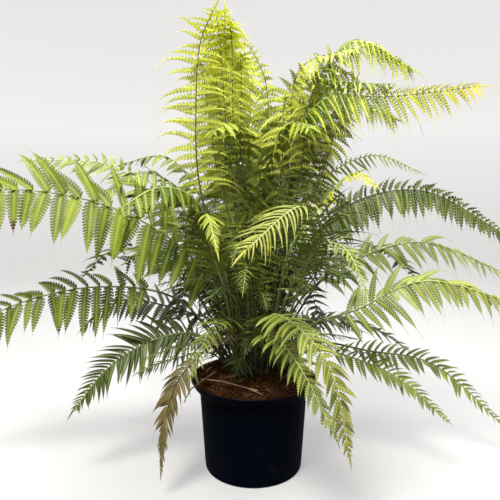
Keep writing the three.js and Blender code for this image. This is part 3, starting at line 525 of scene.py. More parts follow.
def pot_material():
    """Blue-black plastic, dusty and scuffed low on its right side."""
    n = Nodes("pot_plastic")
    scuffs = n.range(n.noise(26.0, 8.0, 0.7), 0.56, 0.74)
    low = n.range(n.axis("Z"), 0.0, 0.09, 1.0, 0.1)
    right = n.range(n.axis("X"), -0.02, 0.08, 0.15, 1.0)
    dust = n.math("MULTIPLY", n.math("MULTIPLY", scuffs, low), right)
    colour = n.mix(n.math("MULTIPLY", dust, 0.5), POT_BLACK, POT_DUST)
    rough = n.range(n.noise(60.0, 6.0), 0.3, 0.7, 0.3, 0.46)
    relief = n.math("ADD", n.noise(9.0, 2.0), n.noise(240.0, 3.0))
    inputs = {"Base Color": colour, "Roughness": n.math("ADD", rough, n.math("MULTIPLY", dust, 0.35)),
              "Specular IOR Level": 0.09, "Normal": n.bump(relief, 0.12, 0.002)}
    return n.finish(n.add("BsdfPrincipled", inputs))


def coir_material():
    n = Nodes("coir")
    clumps, specks = n.noise(55.0, 6.0, 0.7), n.noise(420.0, 4.0, 0.7)
    # The clumps mix painted shade in the hollows with the coir's brown.
    base = n.mix(n.range(clumps, 0.35, 0.65), COIR_SHADE, COIR_BROWN)
    colour = n.mix(n.range(specks, 0.55, 0.72), base, COIR_SPECK)
    toned = n.mix(n.value("tone"), colour, COIR_STRAND)
    inputs = {"Base Color": toned, "Roughness": 0.95, "Specular IOR Level": 0.1,
              "Normal": n.bump(n.math("ADD", clumps, specks), 0.8, 0.003)}
    return n.finish(n.add("BsdfPrincipled", inputs))


def backdrop_material():
    """Pale grey with a glow that grows to the camera's height."""
    n = Nodes("backdrop")
    glow = n.range(n.axis("Z"), 0.0, 0.9, 0.27, 0.6)
    grey = n.mix(n.noise(0.7), (0.29, 0.29, 0.29), (0.31, 0.31, 0.31))
    return n.finish(n.add("BsdfPrincipled", {
        "Base Color": grey, "Roughness": 0.8, "Specular IOR Level": 0.1,
        "Emission Color": (1.0, 0.995, 0.99, 1.0), "Emission Strength": glow}))


# ---- a pinna ----

BLADE_STEPS = 17
RIB_THICKNESS = 0.8
RIB_WIDTH = 0.45
BLADE_THICKNESS = 0.3
LOBE_LEAN = 0.3
LAST_PLACE = 0.999

# One lobe's points beside the rib: its place along the lobe's stretch of rib, how far out it
# is, and the painted shading it adds to the tone, painted shade where lobes meet and painted
# light in the lobe's middle. The first is the notch before it. The last of a cut lobe is its
# middle, which has a point above and one below.
CUT_LOBE = [(0, None, -0.45), (0.08, 0.5, -0.4), (0.13, 0.86, -0.2), (0.5, 1.0, 0.05),
            (0.82, 0.88, -0.15), (0.92, 0.5, -0.4), (0.5, 0.5, 0.12)]
CUT_FACES = [("rib", "mid", 1), ("rib", 1, 0), ("rib", "next_rib", "mid"), ("next_rib", "next_notch", 5),
             ("next_rib", 5, "mid"), ("mid", 5, 4), ("mid", 4, 3), ("mid", 3, 2), ("mid", 2, 1)]
TOOTH = [(0, None, 0), (0.3, 0.88, 0), (0.75, 1.0, 0)]
TOOTH_FACES = [("rib", "next_rib", "next_notch"), ("rib", "next_notch", 2), ("rib", 2, 1), ("rib", 1, 0)]


def blade_width(t, habit):
    """Half-width along a pinna, 1 at its widest, down to a thin tail."""
    body = np.clip(t / (1 - habit["tail"]), 0, 1)
    return np.minimum(1, 0.7 + 3 * t) * (0.93 * (1 - body ** habit["taper"]) + 0.07 * (1 - t ** 4))


def bent_rib(root, heading, face, forward, length, habit, droop, twist):
    """The rib's steps, and at each its place, the blade's side and the blade's upward direction."""
    t = np.linspace(0, 1, BLADE_STEPS)
    bend = (t ** habit["sag"])[:, None]
    direction = unit(heading - UP * droop * bend + forward * habit["sweep"] * bend)
    strides = (direction[:-1] + direction[1:]) / 2
    centre = root + np.vstack([[0, 0, 0], np.cumsum(strides, axis=0)]) * length / (BLADE_STEPS - 1)
    up = unit(face - heading * (face @ heading))
    swing = np.cross(heading, direction)
    up = up + np.cross(swing, up) + np.cross(swing, np.cross(swing, up)) / (1 + direction @ heading)[:, None]
    side = np.cross(up, direction)
    turn = (twist * t)[:, None]
    up, side = up * np.cos(turn) + side * np.sin(turn), side * np.cos(turn) - up * np.sin(turn)
    return t, np.hstack([centre, side, up])


def flat_pinna(lobes, length, width, habit, deep):
    """Its points laid flat, as columns: place along the rib, distance out, height above it,
    share of the half-width, and the painted shading that the point adds to the tone."""
    k = np.arange(lobes)
    rib_half = RIB_THICKNESS / 2 * MM * (1 - 0.7 * k / lobes)
    rib = np.zeros((2 * lobes + 1, 5))
    rib[:, 0] = [*(k / lobes), *(k / lobes), 1.0]
    rib[:-1, 2] = [*rib_half, *-rib_half]
    half = width / 2 * blade_width((k + 0.5) / lobes, habit)
    edge = width / 2 * blade_width(k / lobes, habit)
    lobe = []
    for at, far, painted_lobe_shading in CUT_LOBE if deep else TOOTH:
        if far is None:
            out, lean = np.maximum(edge * (1 - habit["cut"]), RIB_WIDTH * MM), 0
        else:
            out = far * half
            lean = far * half * lobes / length * LOBE_LEAN + (0.5 - at) * (1 - habit["fill"])
        place = np.minimum((k + at + lean) / lobes, LAST_PLACE)
        lobe.append(np.stack([place, out, np.zeros(lobes), out / (width / 2), np.full(lobes, painted_lobe_shading)], 1))
    if deep:
        rise = np.array([0, 0, BLADE_THICKNESS / 2 * MM, 0, 0])
        lobe[-1:] = [lobe[-1] + rise, lobe[-1] - rise]
    left = np.stack(lobe, 1).reshape(-1, 5)
    return np.vstack([rib, left, left * (1, -1, 1, 1, 1)])


def pinna_triangles(lobes, deep):
    """The triangles of a pinna's points, and 1 for each that lies underneath."""
    k = np.arange(lobes)
    size = len(CUT_LOBE) + 1 if deep else len(TOOTH)
    tip = 2 * lobes
    left, right = tip + 1, tip + 1 + lobes * size
    triangles, under = [], []
    for block in (left, right):
        first = block + k * size
        for below in (0, 1):
            rib = k + below * lobes
            names = {"rib": rib, "next_rib": np.where(k < lobes - 1, rib + 1, tip),
                     "next_notch": np.where(k < lobes - 1, first + size, tip),
                     "mid": first + size - 2 + below}
            for corners in CUT_FACES if deep else TOOTH_FACES:
                triangle = np.stack([names[c] if isinstance(c, str) else first + c for c in corners], 1)
                triangles.append(triangle if (block == left) != below else triangle[:, ::-1])
                under.append(np.full(lobes, below))
    triangles.append([(0, left, lobes), (0, lobes, right)])
    under.append([0, 0])
    triangles, under = np.vstack(triangles), np.concatenate(under)
    a, b, c = triangles.T
    real = (a != b) & (b != c) & (c != a)
    return triangles[real], under[real]


def grow_pinna(skin, root, heading, face, forward, length, width, habit, droop, fold, twist, values):
    """One closed thin leaflet with a cut or toothed edge, hung in its own curve."""
    lobes = max(3, round(length / (habit["pitch"] * MM)))
    deep = habit["cut"] > 0.5
    steps, rib = bent_rib(root, heading, face, forward, length, habit, droop, twist)
    place, out, lift, share, painted_lobe_shading = flat_pinna(lobes, length, width, habit, deep).T
    lift = lift + math.sin(fold) * np.abs(out) - habit["curl"] * out ** 2 / (width / 2)
    out = out * math.cos(fold)
    where = Midrib.spread(steps, rib, place)
    points = where[:, :3] + where[:, 3:6] * out[:, None] + where[:, 6:] * lift[:, None]
    dry = np.clip((place - values["dry_from"]) / 0.08, 0, 1)
    # The tone takes the lobes' painted shading: painted shade where lobes meet, painted light in their
    # middles.
    skin.add(points, *pinna_triangles(lobes, deep), tone=values["tone"] + 0.25 * (place - 0.5) + painted_lobe_shading,
             dry=dry, yellow=values["yellow"], across=share)


# ---- a frond ----

SHARES = np.linspace(0, 1, 201)

# How pinnae depart from the frond's rule: ranges, means with spreads, and shares.
LEFT_START, RIGHT_START = 0.6, 0.35
CROWDING = 1.15
STEEP_TILT = 25
RAISE = (6, 13)
HANG_RANGE = (0.5, 1.4)
LENGTH_RANGE = (0.74, 1.06)
LEAST_LENGTH = 7
STUNTED_SHARE = 0.06
STUNTED_RANGE = (0.4, 0.8)
FULL_DROOP_LENGTH = 60
DROOP_RANGE = (0.6, 1.4)
UPPER_DROOP = 0.3
FOLD, UPPER_FOLD, FOLD_SPREAD = 12, 55, 8
TWIST_SPREAD = 0.5
TONE_SPREAD = 0.16
DRY_RANGE = (0.6, 0.9)
NEVER_DRY = 2
LONGEST_AT = 0.25

UPPER_RISE = 0.25
END_LENGTH, END_WIDTH = 0.35, 0.05

STALK_RADIUS, YOUNG_STALK_RADIUS, STALK_TIP_RADIUS = 2.3, 1.6, 0.6
STALK_STEPS = 40


class Midrib:
    """The smooth curve of a stalk and midrib, and the blade's directions along it."""

    def __init__(self, stand, path, tilt, facing):
        turn = math.radians(stand[0])
        root = (stand[1] * math.cos(turn), stand[1] * math.sin(turn), STIPE_ROOT_HEIGHT)
        through = np.array([root, *path], float) * MM
        curve = self.curve(through)
        run = np.concatenate([[0], np.cumsum(np.linalg.norm(np.diff(curve, axis=0), axis=1))])
        self.points = self.spread(run / run[-1], curve, SHARES)
        self.forwards = unit(np.gradient(self.points, axis=0))
        outward = unit((through[-1] - through[0]) * (1, 1, 0))
        if facing is not None:
            outward = course(math.radians(facing))
        self.across = np.cross(UP, outward)
        self.tilt = math.radians(tilt) * np.sign(outward[0])

    @staticmethod
    def curve(through):
        """A centripetal Catmull-Rom curve through the points."""
        p = np.vstack([2 * through[0] - through[1], through, 2 * through[-1] - through[-2]])
        t = SHARES * (len(through) - 1)
        i = np.minimum(t.astype(int), len(through) - 2)
        w = (t - i)[:, None]
        p0, p1, p2, p3 = p[i], p[i + 1], p[i + 2], p[i + 3]
        t0, t1, t2 = (((b - a) ** 2).sum(1)[:, None] ** 0.25 for a, b in ((p0, p1), (p1, p2), (p2, p3)))
        m1 = ((p1 - p0) / t0 - (p2 - p0) / (t0 + t1) + (p2 - p1) / t1) * t1
        m2 = ((p2 - p1) / t1 - (p3 - p1) / (t1 + t2) + (p3 - p2) / t2) * t1
        return p1 + m1 * w + (3 * (p2 - p1) - 2 * m1 - m2) * w ** 2 + (2 * (p1 - p2) + m1 + m2) * w ** 3

    @staticmethod
    def spread(at, values, shares):
        return np.stack([np.interp(shares, at, column) for column in values.T], -1)

    def at(self, share):
        point = self.spread(SHARES, self.points, share)
        forward = unit(self.spread(SHARES, self.forwards, share))
        left = unit(self.across - forward * (self.across @ forward))
        left = turned(left, forward, self.tilt)
        return point, forward, left, np.cross(forward, left)


def pinna_length(share, full):
    """A pinna's length by its share of the blade, 1 at the longest."""
    if share < LONGEST_AT:
        return 1 - LONGEST_AT + share
    return ((1 - share) / (1 - LONGEST_AT)) ** full


def hang_pinna(skin, midrib, frond, share, hand, random):
    """The pinna at a share of the blade, on the midrib's left hand, 1, or its right, -1."""
    reach = frond["reach"] * MM
    point, forward, left, face = midrib.at(mix(frond["bare"], 1, share))
    is_upper = frond["tilt"] > STEEP_TILT and (left * hand)[2] > UPPER_RISE and not frond["slack"]
    angles = frond["upper" if is_upper else "angles"]
    angle = math.radians(mix(*angles, share) + random.normal(0, frond["stray"]))
    raised = math.radians(random.normal(*RAISE))
    heading = turned(forward * math.cos(angle) + left * hand * math.sin(angle), forward, hand * raised)
    hang = frond["hang"][hand < 0] * (0.6 + share) * random.uniform(*HANG_RANGE)
    heading = unit(heading - UP * hang)
    size = pinna_length(share, frond["full"])
    length = max(reach * size * random.uniform(*LENGTH_RANGE), LEAST_LENGTH * MM)
    length *= random.uniform(*STUNTED_RANGE) if random.random() < STUNTED_SHARE else 1
    length *= frond["upper_length"] if is_upper else 1
    droop = frond["droop"] * min(1, length / (FULL_DROOP_LENGTH * MM)) * random.uniform(*DROOP_RANGE)
    droop *= UPPER_DROOP if is_upper else 1
    fold = math.radians(random.normal(UPPER_FOLD if is_upper else FOLD, FOLD_SPREAD))
    # The tone runs from the blade's foot to its tip, painted shade low and painted light high, with a random
    # spread of the leaves' own.
    values = dict(tone=mix(*frond["tone"], share) + random.normal(0, TONE_SPREAD),
                  yellow=frond["yellow"] * share ** 3,
                  dry_from=random.uniform(*DRY_RANGE) if random.random() < frond["spent"] else NEVER_DRY)
    width = reach * size ** 0.6 * frond["width"]
    twist = random.normal(0, TWIST_SPREAD) * hand
    grow_pinna(skin, point, heading, face, forward, length, width, frond, droop, fold, twist, values)


def grow_blade(name, frond, midrib):
    """Pairs of pinnae, closer together toward the tip, and the blade's end."""
    random = np.random.default_rng([sum(map(ord, name)), frond["pinnae"]])
    skin = Skin("tone", "dry", "yellow", "across")
    for i in range(frond["pinnae"]):
        for hand, start in ((1, LEFT_START), (-1, RIGHT_START)):
            even = (i + start) / (frond["pinnae"] + LEFT_START)
            hang_pinna(skin, midrib, frond, 1 - (1 - even) ** CROWDING, hand, random)
    reach = frond["reach"] * MM
    point, forward, left, face = midrib.at(mix(frond["bare"], 1, 1 - 0.5 / frond["pinnae"]))
    values = dict(tone=frond["tone"][1], yellow=frond["yellow"], dry_from=NEVER_DRY)
    grow_pinna(skin, point, forward, face, forward, reach * END_LENGTH, reach * END_WIDTH, frond,
               0.8, 0.1, 0, values)
    return skin


def grow_frond(name, row, materials, young=False):
    """A blade and its stalk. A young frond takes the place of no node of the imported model."""
    frond = {**PLAIN, **HABITS[row["habit"]], **row}
    midrib = Midrib(frond["stand"], frond["path"], frond["tilt"], frond["facing"])
    blade = grow_blade(name, frond, midrib).object(f"{name}_leaf", materials["leaf_" + frond["leaf"]])
    stalk = Skin("along")
    shares = np.linspace(0, 1 - 0.3 / frond["pinnae"], STALK_STEPS)
    radii = mix(YOUNG_STALK_RADIUS if young else STALK_RADIUS, STALK_TIP_RADIUS, shares) * MM
    tube(stalk, [midrib.at(s)[0] for s in shares], radii, along=shares)
    stem = stalk.object(f"{name}_stalk", materials["stalk_" + frond["stalk"]])
    for piece in (blade, stem):
        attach(piece, "root")
        if not young:
            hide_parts(f"frond_{name}")


# ---- the slender fronds behind the tabled ones ----

# Rings that fill the heart: how many fronds, the height they rise to, how far they lean, their
# reach, their path's distance out and share of the rise at each of its points, the leaf
# colours that they take in turn, and their tone, kept low as painted shade in the heart.
RINGS = {
    "upright": dict(count=13, height=(430, 560), lean=(0.7, 1.25), reach=(50, 72), far=(35, 62, 105),
                    rise=(0.62, 0.94, 1.0), leaves=("olive", "dark", "green", "dark"), tone=(0, 0.6)),
    "arching": dict(count=15, height=(300, 400), lean=(0.8, 1.15), reach=(42, 58), far=(50, 95, 150),
                    rise=(0.85, 1.0, 0.93), leaves=("dark", "olive", "dark", "green"), tone=(0, 0.4)),
    "low": dict(count=18, height=(205, 250), lean=(0.9, 1.2), reach=(36, 52), far=(70, 125, 175),
                rise=(0.93, 1.0, 0.8), leaves=("dark", "dark", "olive", "dark"), tone=(0, 0.3)),
}
OPEN_FRONT = -0.75
OPEN_FRONT_LEAN = 0.55


def young_fronds():
    """The rings' fronds, by a seeded rule. The low ring keeps back from the coir in front."""
    random = np.random.default_rng(21)
    for ring, rule in RINGS.items():
        for i in range(rule["count"]):
            turn = 360 * i / rule["count"] + random.normal(0, 7)
            out = course(math.radians(turn))[:2] * random.uniform(*rule["lean"])
            if ring == "low" and out[1] < OPEN_FRONT:
                out = out * OPEN_FRONT_LEAN
            tall = random.uniform(*rule["height"]) - STIPE_ROOT_HEIGHT
            path = [(*(out * far), STIPE_ROOT_HEIGHT + tall * rise)
                    for far, rise in zip(rule["far"], rule["rise"])]
            yield f"{ring}_{i + 1:02d}", dict(
                habit="comb" if random.random() < 0.4 else "feather", leaf=rule["leaves"][i % 4],
                stand=(turn, random.uniform(14, 40)), bare=random.uniform(0.25, 0.38),
                reach=random.uniform(*rule["reach"]), pinnae=26, tilt=random.uniform(0, 25), hang=(0.2, 0.2),
                path=path, tone=rule["tone"], width=0.1, facing=turn + random.normal(0, 65))


# Fillers of the crest, the sides, the base and the middle: where each ends, and what it arches
# over on the way if not straight up.
FILLER = dict(habit="plume", leaf="lime", pinnae=15, hang=(0.35, 0.35), width=0.2, full=0.2)
FILLERS = {
    "tuft_1": dict(end=(-53, -105, 708), bare=0.76, reach=50, tone=(0.5, 1.1)),
    "tuft_2": dict(end=(-34, -90, 700), bare=0.74, reach=48, tone=(0.5, 1.1)),
    "tuft_3": dict(end=(-66, -80, 684), bare=0.74, reach=54, tone=(0.4, 1.0)),
    "tuft_4": dict(end=(-20, -60, 664), bare=0.7, reach=54, tone=(0.3, 0.9)),
    "tuft_5": dict(end=(-78, -90, 650), bare=0.72, reach=52, tone=(0.4, 0.9)),
    "tuft_6": dict(end=(-44, -60, 690), bare=0.74, reach=52, tone=(0.4, 1.1)),
    "spire_1": dict(end=(122, -45, 655), bare=0.7, reach=60, tone=(0.1, 0.6)),
    "spire_2": dict(end=(152, -60, 632), bare=0.68, reach=60, tone=(0.1, 0.6)),
    "spire_3": dict(end=(98, 0, 622), bare=0.66, reach=60, tone=(0.3, 1.1), leaf="green"),
    "spire_4": dict(end=(142, -20, 600), bare=0.66, reach=60, tone=(0.3, 1.1), leaf="green"),
    "left_1": dict(end=(-175, 30, 395), bare=0.35, reach=56, tone=(0.1, 0.5), leaf="olive"),
    "left_2": dict(end=(-205, -35, 350), bare=0.35, reach=56, tone=(0.1, 0.6), leaf="dark"),
    "left_3": dict(end=(-160, 60, 335), bare=0.35, reach=56, tone=(0.1, 0.6), leaf="dark"),
    "left_4": dict(end=(-140, -70, 400), bare=0.35, reach=56, tone=(0, 0.5), leaf="olive"),
    "right_1": dict(end=(180, 5, 410), bare=0.35, reach=52, tone=(0.1, 0.6), leaf="dark"),
    "right_2": dict(end=(165, 60, 350), bare=0.35, reach=52, tone=(0.1, 0.6), leaf="olive"),
    "right_3": dict(end=(150, -50, 330), bare=0.35, reach=48, tone=(0.1, 0.6), leaf="dark"),
    "base_1": dict(end=(-82, -62, 222), bare=0.3, reach=36, tone=(-0.2, 0.3), leaf="brown"),
    "base_2": dict(end=(-42, -84, 238), bare=0.3, reach=34, tone=(-0.2, 0.2), leaf="brown"),
    "base_3": dict(end=(4, -84, 234), bare=0.3, reach=34, tone=(-0.2, 0.2), leaf="brown"),
    "base_4": dict(end=(-98, -20, 218), bare=0.3, reach=36, tone=(-0.2, 0.3), leaf="olive"),
    "base_5": dict(end=(60, -70, 215), bare=0.3, reach=34, tone=(-0.2, 0.2), leaf="brown"),
    "middle_1": dict(end=(26, -10, 600), bare=0.6, reach=60, tone=(0.2, 1), leaf="green"),
    "middle_2": dict(end=(52, 20, 585), bare=0.58, reach=60, tone=(-0.3, 0.6)),
    "middle_3": dict(end=(84, -30, 566), bare=0.56, reach=60, tone=(0.2, 1.1), leaf="green"),
    "middle_4": dict(end=(112, 20, 548), bare=0.56, reach=56, tone=(-0.3, 0.6)),
    "middle_5": dict(end=(10, 50, 560), bare=0.58, reach=60, tone=(0.2, 1), leaf="green"),
    "middle_6": dict(end=(-8, -60, 540), bare=0.58, reach=52, tone=(0.2, 1), leaf="green"),
    "spire_5": dict(end=(150, -80, 668), over=(70, -40, 646), bare=0.62, reach=58, pinnae=22,
                    tone=(-0.2, 0.45)),
    "spire_6": dict(end=(138, -60, 636), over=(56, -20, 618), bare=0.6, reach=62, pinnae=22,
                    tone=(-0.3, 0.35)),
    "spire_7": dict(end=(190, -105, 612), over=(92, -60, 612), bare=0.6, reach=60, pinnae=22,
                    tone=(-0.2, 0.4)),
    "spire_8": dict(end=(118, 10, 612), over=(48, 10, 592), bare=0.58, reach=64, pinnae=22,
                    tone=(0.2, 0.9), leaf="green"),
}
LOW_FILLER = 450
LOW_ARCH = 10
FORK_X = 8
FORK_HEIGHT = 330
ARCH_FORK_HEIGHT = 340
CLIMB = 0.6
SWAY = 5
NOD = 22


def filler_path(random, end, over=None):
    """A path that rises from the crown and nods at its end."""
    x, y, z = end
    if z < LOW_FILLER:
        return [(x * 0.25, y * 0.25, mix(STIPE_ROOT_HEIGHT, z, CLIMB)), (x * 0.6, y * 0.6, z + LOW_ARCH), end]
    if over:
        top_x, top_y, top_z = over
        return [(mix(FORK_X, top_x, 0.5), top_y * 0.3, ARCH_FORK_HEIGHT),
                (top_x * 0.8, top_y * 0.6, mix(ARCH_FORK_HEIGHT, top_z, CLIMB)), over, end]
    return [(mix(FORK_X, x, 0.3), y * 0.15, FORK_HEIGHT),
            (x * 0.75 + random.normal(0, SWAY), y * 0.3, mix(FORK_HEIGHT, z, CLIMB)),
            (x * 0.94, y * 0.6, z - NOD), end]


def filler_fronds():
    random = np.random.default_rng(31)
    for name, rule in FILLERS.items():
        row = {**FILLER, **rule, "path": filler_path(random, rule["end"], rule.get("over")),
               "stand": (random.uniform(0, 360), 20), "facing": -90 + random.normal(0, 40)}
        yield name, row


# Bare stalks that stand in the heart: how many, the arc of the crown that they stand on, their
# distance from its middle, and their height, lean, swing to the side and radii.
BARE_STALKS = {
    "old_stalks": dict(seed=8, count=46, arc=(0, 2 * math.pi), far=(8, 42), tall=(90, 230), lean=(0.15, 0.75),
                       swing=18, radii=(1.3, 0.5), along=(0.1, 0.8), stalk="dark", leaf="dark"),
    "fresh_stalks": dict(seed=14, count=26, arc=(math.radians(-165), math.radians(-15)), far=(22, 44),
                         tall=(110, 250), lean=(0.05, 0.5), swing=26, radii=(1.2, 0.5), along=(0.15, 0.45),
                         stalk="pale", leaf="olive"),
}
BARE_STALK_STEPS = np.linspace(0, 1, 12)


def bare_stalks(name, rule, materials):
    random = np.random.default_rng(rule["seed"])
    skin = Skin("along")
    for _ in range(rule["count"]):
        turn, far = random.uniform(*rule["arc"]), random.uniform(*rule["far"])
        out = course(turn)
        side = np.cross(UP, out)
        tall, lean = random.uniform(*rule["tall"]), random.uniform(*rule["lean"])
        swing = random.normal(0, rule["swing"])
        path = [out * (far + tall * lean * s ** 1.5) + side * swing * s * s
                + UP * (STIPE_ROOT_HEIGHT + tall * s) for s in BARE_STALK_STEPS]
        tube(skin, np.array(path) * MM, mix(*rule["radii"], BARE_STALK_STEPS) * MM, 6,
             along=random.uniform(*rule["along"]))
    stalks = skin.object(name, materials["stalk_" + rule["stalk"]])
    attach(stalks, "root")


# ---- pot ----

FOOT_RECESS = 1.2
FOOT_RING = (70, 71)
BASE_BEVEL = (1, 5)
RIM_TOP = [(-0.6, -3), (0, -2), (-0.4, 0), (-2.2, 0)]  # from the rim's widest corner
POT_ROUNDING = 2.5
POT_SIDES = 144
DRILL_REACH = 10


def nursery_pot():
    skin = Skin()
    skin.add(*lathe(rounded([
        (0, FOOT_RECESS), (FOOT_RING[0], FOOT_RECESS), (FOOT_RING[1], 0),
        (POT_BASE_RADIUS - BASE_BEVEL[0], 0),
        (POT_BASE_RADIUS, BASE_BEVEL[1]), (POT_WALL_RADIUS, LIP_FOOT), (LIP_RADIUS, LIP_SHOULDER),
        *[(POT_RIM_RADIUS + out, POT_HEIGHT + up) for out, up in RIM_TOP],
        (LIP_RADIUS - POT_WALL, LIP_SHOULDER + POT_WALL), (POT_WALL_RADIUS - POT_WALL, LIP_FOOT + POT_WALL),
        (POT_BASE_RADIUS - POT_WALL, POT_FLOOR), (0, POT_FLOOR)], POT_ROUNDING), POT_SIDES))
    pot = skin.object("nursery_pot", pot_material())
    drill_holes(pot)
    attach(pot, "root")
    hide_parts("pot")


def drill_holes(pot):
    """Cuts the drain holes, with the result kept in the pot's own mesh."""
    skin = Skin()
    reach = UP * DRILL_REACH * MM
    for i in range(DRAIN_HOLES):
        hub = course(i / DRAIN_HOLES * 2 * math.pi) * DRAIN_RING_RADIUS * MM
        tube(skin, [hub - reach, hub + reach], DRAIN_HOLE_RADIUS * MM, 24)
    drill = skin.object("drill", pot.data.materials[0])
    cut = pot.modifiers.new("drain", "BOOLEAN")
    cut.object, cut.operation, cut.solver = drill, "DIFFERENCE", "EXACT"
    bpy.context.view_layer.update()
    drilled = bpy.data.meshes.new_from_object(pot.evaluated_get(bpy.context.evaluated_depsgraph_get()))
    pot.modifiers.clear()
    pot.data = drilled
    bpy.data.objects.remove(drill)
    drilled.set_sharp_from_angle(angle=math.radians(35))


# ---- coir ----

SOIL_RINGS, SOIL_SIDES = 34, 220
SOIL_WAVE, SOIL_GRAIN = 3.4, 0.8
RECESS_GAP = 0.5
STRANDS = 2600
STRAND_LIMIT = 101
STRAND_RADII = np.array([0.25, 0.5, 0.45, 0.15])
CRUMBS = 420
CRUMB_RINGS, CRUMB_SIDES = 5, 8
DEAD_LEAFLETS = 26
DEAD_LEAFLET_WIDTH = 5
LITTER_HEIGHT = 4.5
FALLEN_STEPS = 16

# Stalks that lie on the coir. The first lies in front, and the second hangs over the left rim.
FALLEN_STALKS = [[(-84, -52, 168), (-50, -72, 172), (-12, -88, 168), (14, -96, 160)],
                 [(-60, -40, 176), (-78, -62, 171), (-98, -70, 158), (-108, -76, 139)],
                 [(88, 10, 166), (74, -40, 170), (48, -78, 166)],
                 [(-20, 84, 167), (24, 78, 172), (66, 62, 167)]]


def soil_height(radius):
    """Height of the coir's mound over the pot's base."""
    return np.interp(radius, [ROOTSTOCK_RADIUS, SOIL_SHOULDER[0], SOIL_EDGE[0]],
                     [SOIL_TOP, SOIL_SHOULDER[1], SOIL_EDGE[1]])


def on_soil(random, inner_share, outer, low, high):
    """A place drawn evenly over the mound's ring, and between two heights over it."""
    far, turn = math.sqrt(random.uniform(inner_share, 1)) * outer, random.uniform(0, 2 * math.pi)
    return course(turn) * far + UP * (soil_height(far) + random.uniform(low, high))


def coir_bed(coir, random):
    recess = ROOTSTOCK_RADIUS + RECESS_GAP
    mound = [(r, float(soil_height(r))) for r in np.linspace(SOIL_EDGE[0], recess, SOIL_RINGS)]
    points, triangles = lathe([
        (0, POT_FLOOR + FIT_GAP), (POT_BASE_RADIUS - POT_WALL - FIT_GAP, POT_FLOOR + FIT_GAP),
        (POT_WALL_RADIUS - POT_WALL - FIT_GAP, LIP_FOOT + POT_WALL),
        (LIP_RADIUS - POT_WALL - 2 * FIT_GAP, LIP_SHOULDER + POT_WALL), *mound,
        (recess, ROOTSTOCK_BOTTOM - FIT_GAP), (0, ROOTSTOCK_BOTTOM - FIT_GAP)], SOIL_SIDES)
    radius = np.hypot(points[:, 0], points[:, 1]) / MM
    between = (radius > ROOTSTOCK_RADIUS) & (radius < SOIL_EDGE[0] - 0.5)
    open_top = between & (points[:, 2] > (SOIL_EDGE[1] - 1) * MM)
    points[open_top, 2] += (waves(points[:, 0], points[:, 1], random) * SOIL_WAVE * MM)[open_top]
    points[open_top, 2] += random.normal(0, SOIL_GRAIN * MM, len(points))[open_top]
    skin = Skin("tone")
    skin.add(points, triangles)
    soil = skin.object("coir_bed", coir)
    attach(soil, "root")
    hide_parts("soil")


def coir_strands(coir, random):
    """Loose bent fibres, all within the pot's rim."""
    skin = Skin("tone")
    for _ in range(STRANDS):
        middle = on_soil(random, 0.2, 100, 0.4, 2.6)
        heading = random.uniform(0, 2 * math.pi)
        run = course(heading) + UP * random.normal(0, 0.22)
        bow = np.cross(run, UP) * random.normal(0, 0.25) + UP * random.uniform(-0.05, 0.25)
        length = random.uniform(4, 15)
        path = np.array([middle + run * length * s + bow * length * (0.25 - s * s)
                         for s in (-0.5, -0.2, 0.2, 0.5)])
        path *= np.minimum(1, STRAND_LIMIT / np.hypot(path[:, 0], path[:, 1]))[:, None]
        radii = STRAND_RADII * random.uniform(0.5, 1.3) * MM
        tube(skin, path * MM, radii, 4, tone=random.uniform(0, 0.9))
    strands = skin.object("coir_strands", coir)
    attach(strands, "root")


def crumb(place, size, random):
    """Points and triangles of a ragged lump: a ball whose every point is pushed in or out."""
    lean, turn = np.meshgrid(np.linspace(0, math.pi, CRUMB_RINGS + 2)[1:-1],
                             np.arange(CRUMB_SIDES) * 2 * math.pi / CRUMB_SIDES, indexing="ij")
    ball = np.stack([np.sin(lean) * np.cos(turn), np.sin(lean) * np.sin(turn), np.cos(lean)], -1)
    ball = np.vstack([ball.reshape(-1, 3), UP, -UP])
    ball = ball * random.uniform(0.6, 1.25, (len(ball), 1)) * size * random.uniform(0.5, 1.0, 3)
    return (ball + place) * MM, ring_triangles(CRUMB_RINGS, CRUMB_SIDES)[:, ::-1]


def coir_crumbs(coir, random):
    skin = Skin("tone")
    for _ in range(CRUMBS):
        place = on_soil(random, 0.22, 98, -0.5, 2.0)
        size, tone = random.uniform(1.2, 4.6), random.uniform(0, 0.5)
        skin.add(*crumb(place, size, random), tone=tone)
    crumbs = skin.object("coir_crumbs", coir)
    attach(crumbs, "root")


def dead_leaflets(materials, random):
    skin = Skin("tone", "dry", "yellow", "across")
    for _ in range(DEAD_LEAFLETS):
        far, turn = random.uniform(52, 94), random.uniform(0, 2 * math.pi)
        place = (course(turn) * far + UP * (soil_height(far) + LITTER_HEIGHT)) * MM
        heading = course(random.uniform(0, 2 * math.pi)) - UP * 0.1
        values = dict(tone=random.uniform(0.1, 0.8), yellow=0, dry_from=random.uniform(0, 1.2))
        grow_pinna(skin, place, unit(heading), UP, np.cross(UP, heading), random.uniform(14, 30) * MM,
                   DEAD_LEAFLET_WIDTH * MM, HABITS["feather"], 0.1, 0.2, random.normal(0, 0.8), values)
    litter = skin.object("dead_leaflets", materials["leaf_brown"])
    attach(litter, "root")


def fallen_stalks():
    skin = Skin("along")
    steps = np.linspace(0, 1, FALLEN_STEPS)
    for path in FALLEN_STALKS:
        places = [np.interp(steps * (len(path) - 1), range(len(path)), column) for column in zip(*path)]
        tube(skin, np.stack(places, 1) * MM, mix(1.5, 0.7, steps) * MM, along=0.35)
    fallen = skin.object("fallen_stalks", stalk_material("fallen", *FALLEN_STALK))
    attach(fallen, "root")


# ---- rootstock ----

CROWN_SHOULDER = (46, 168)
CROWN_RISE = 9
CROWN_SIDES = 96
CROWN_WAVE = 2.0
STUMPS = 120
STUMP_RADII = np.array([3.4, 3.0, 2.0, 0.5])


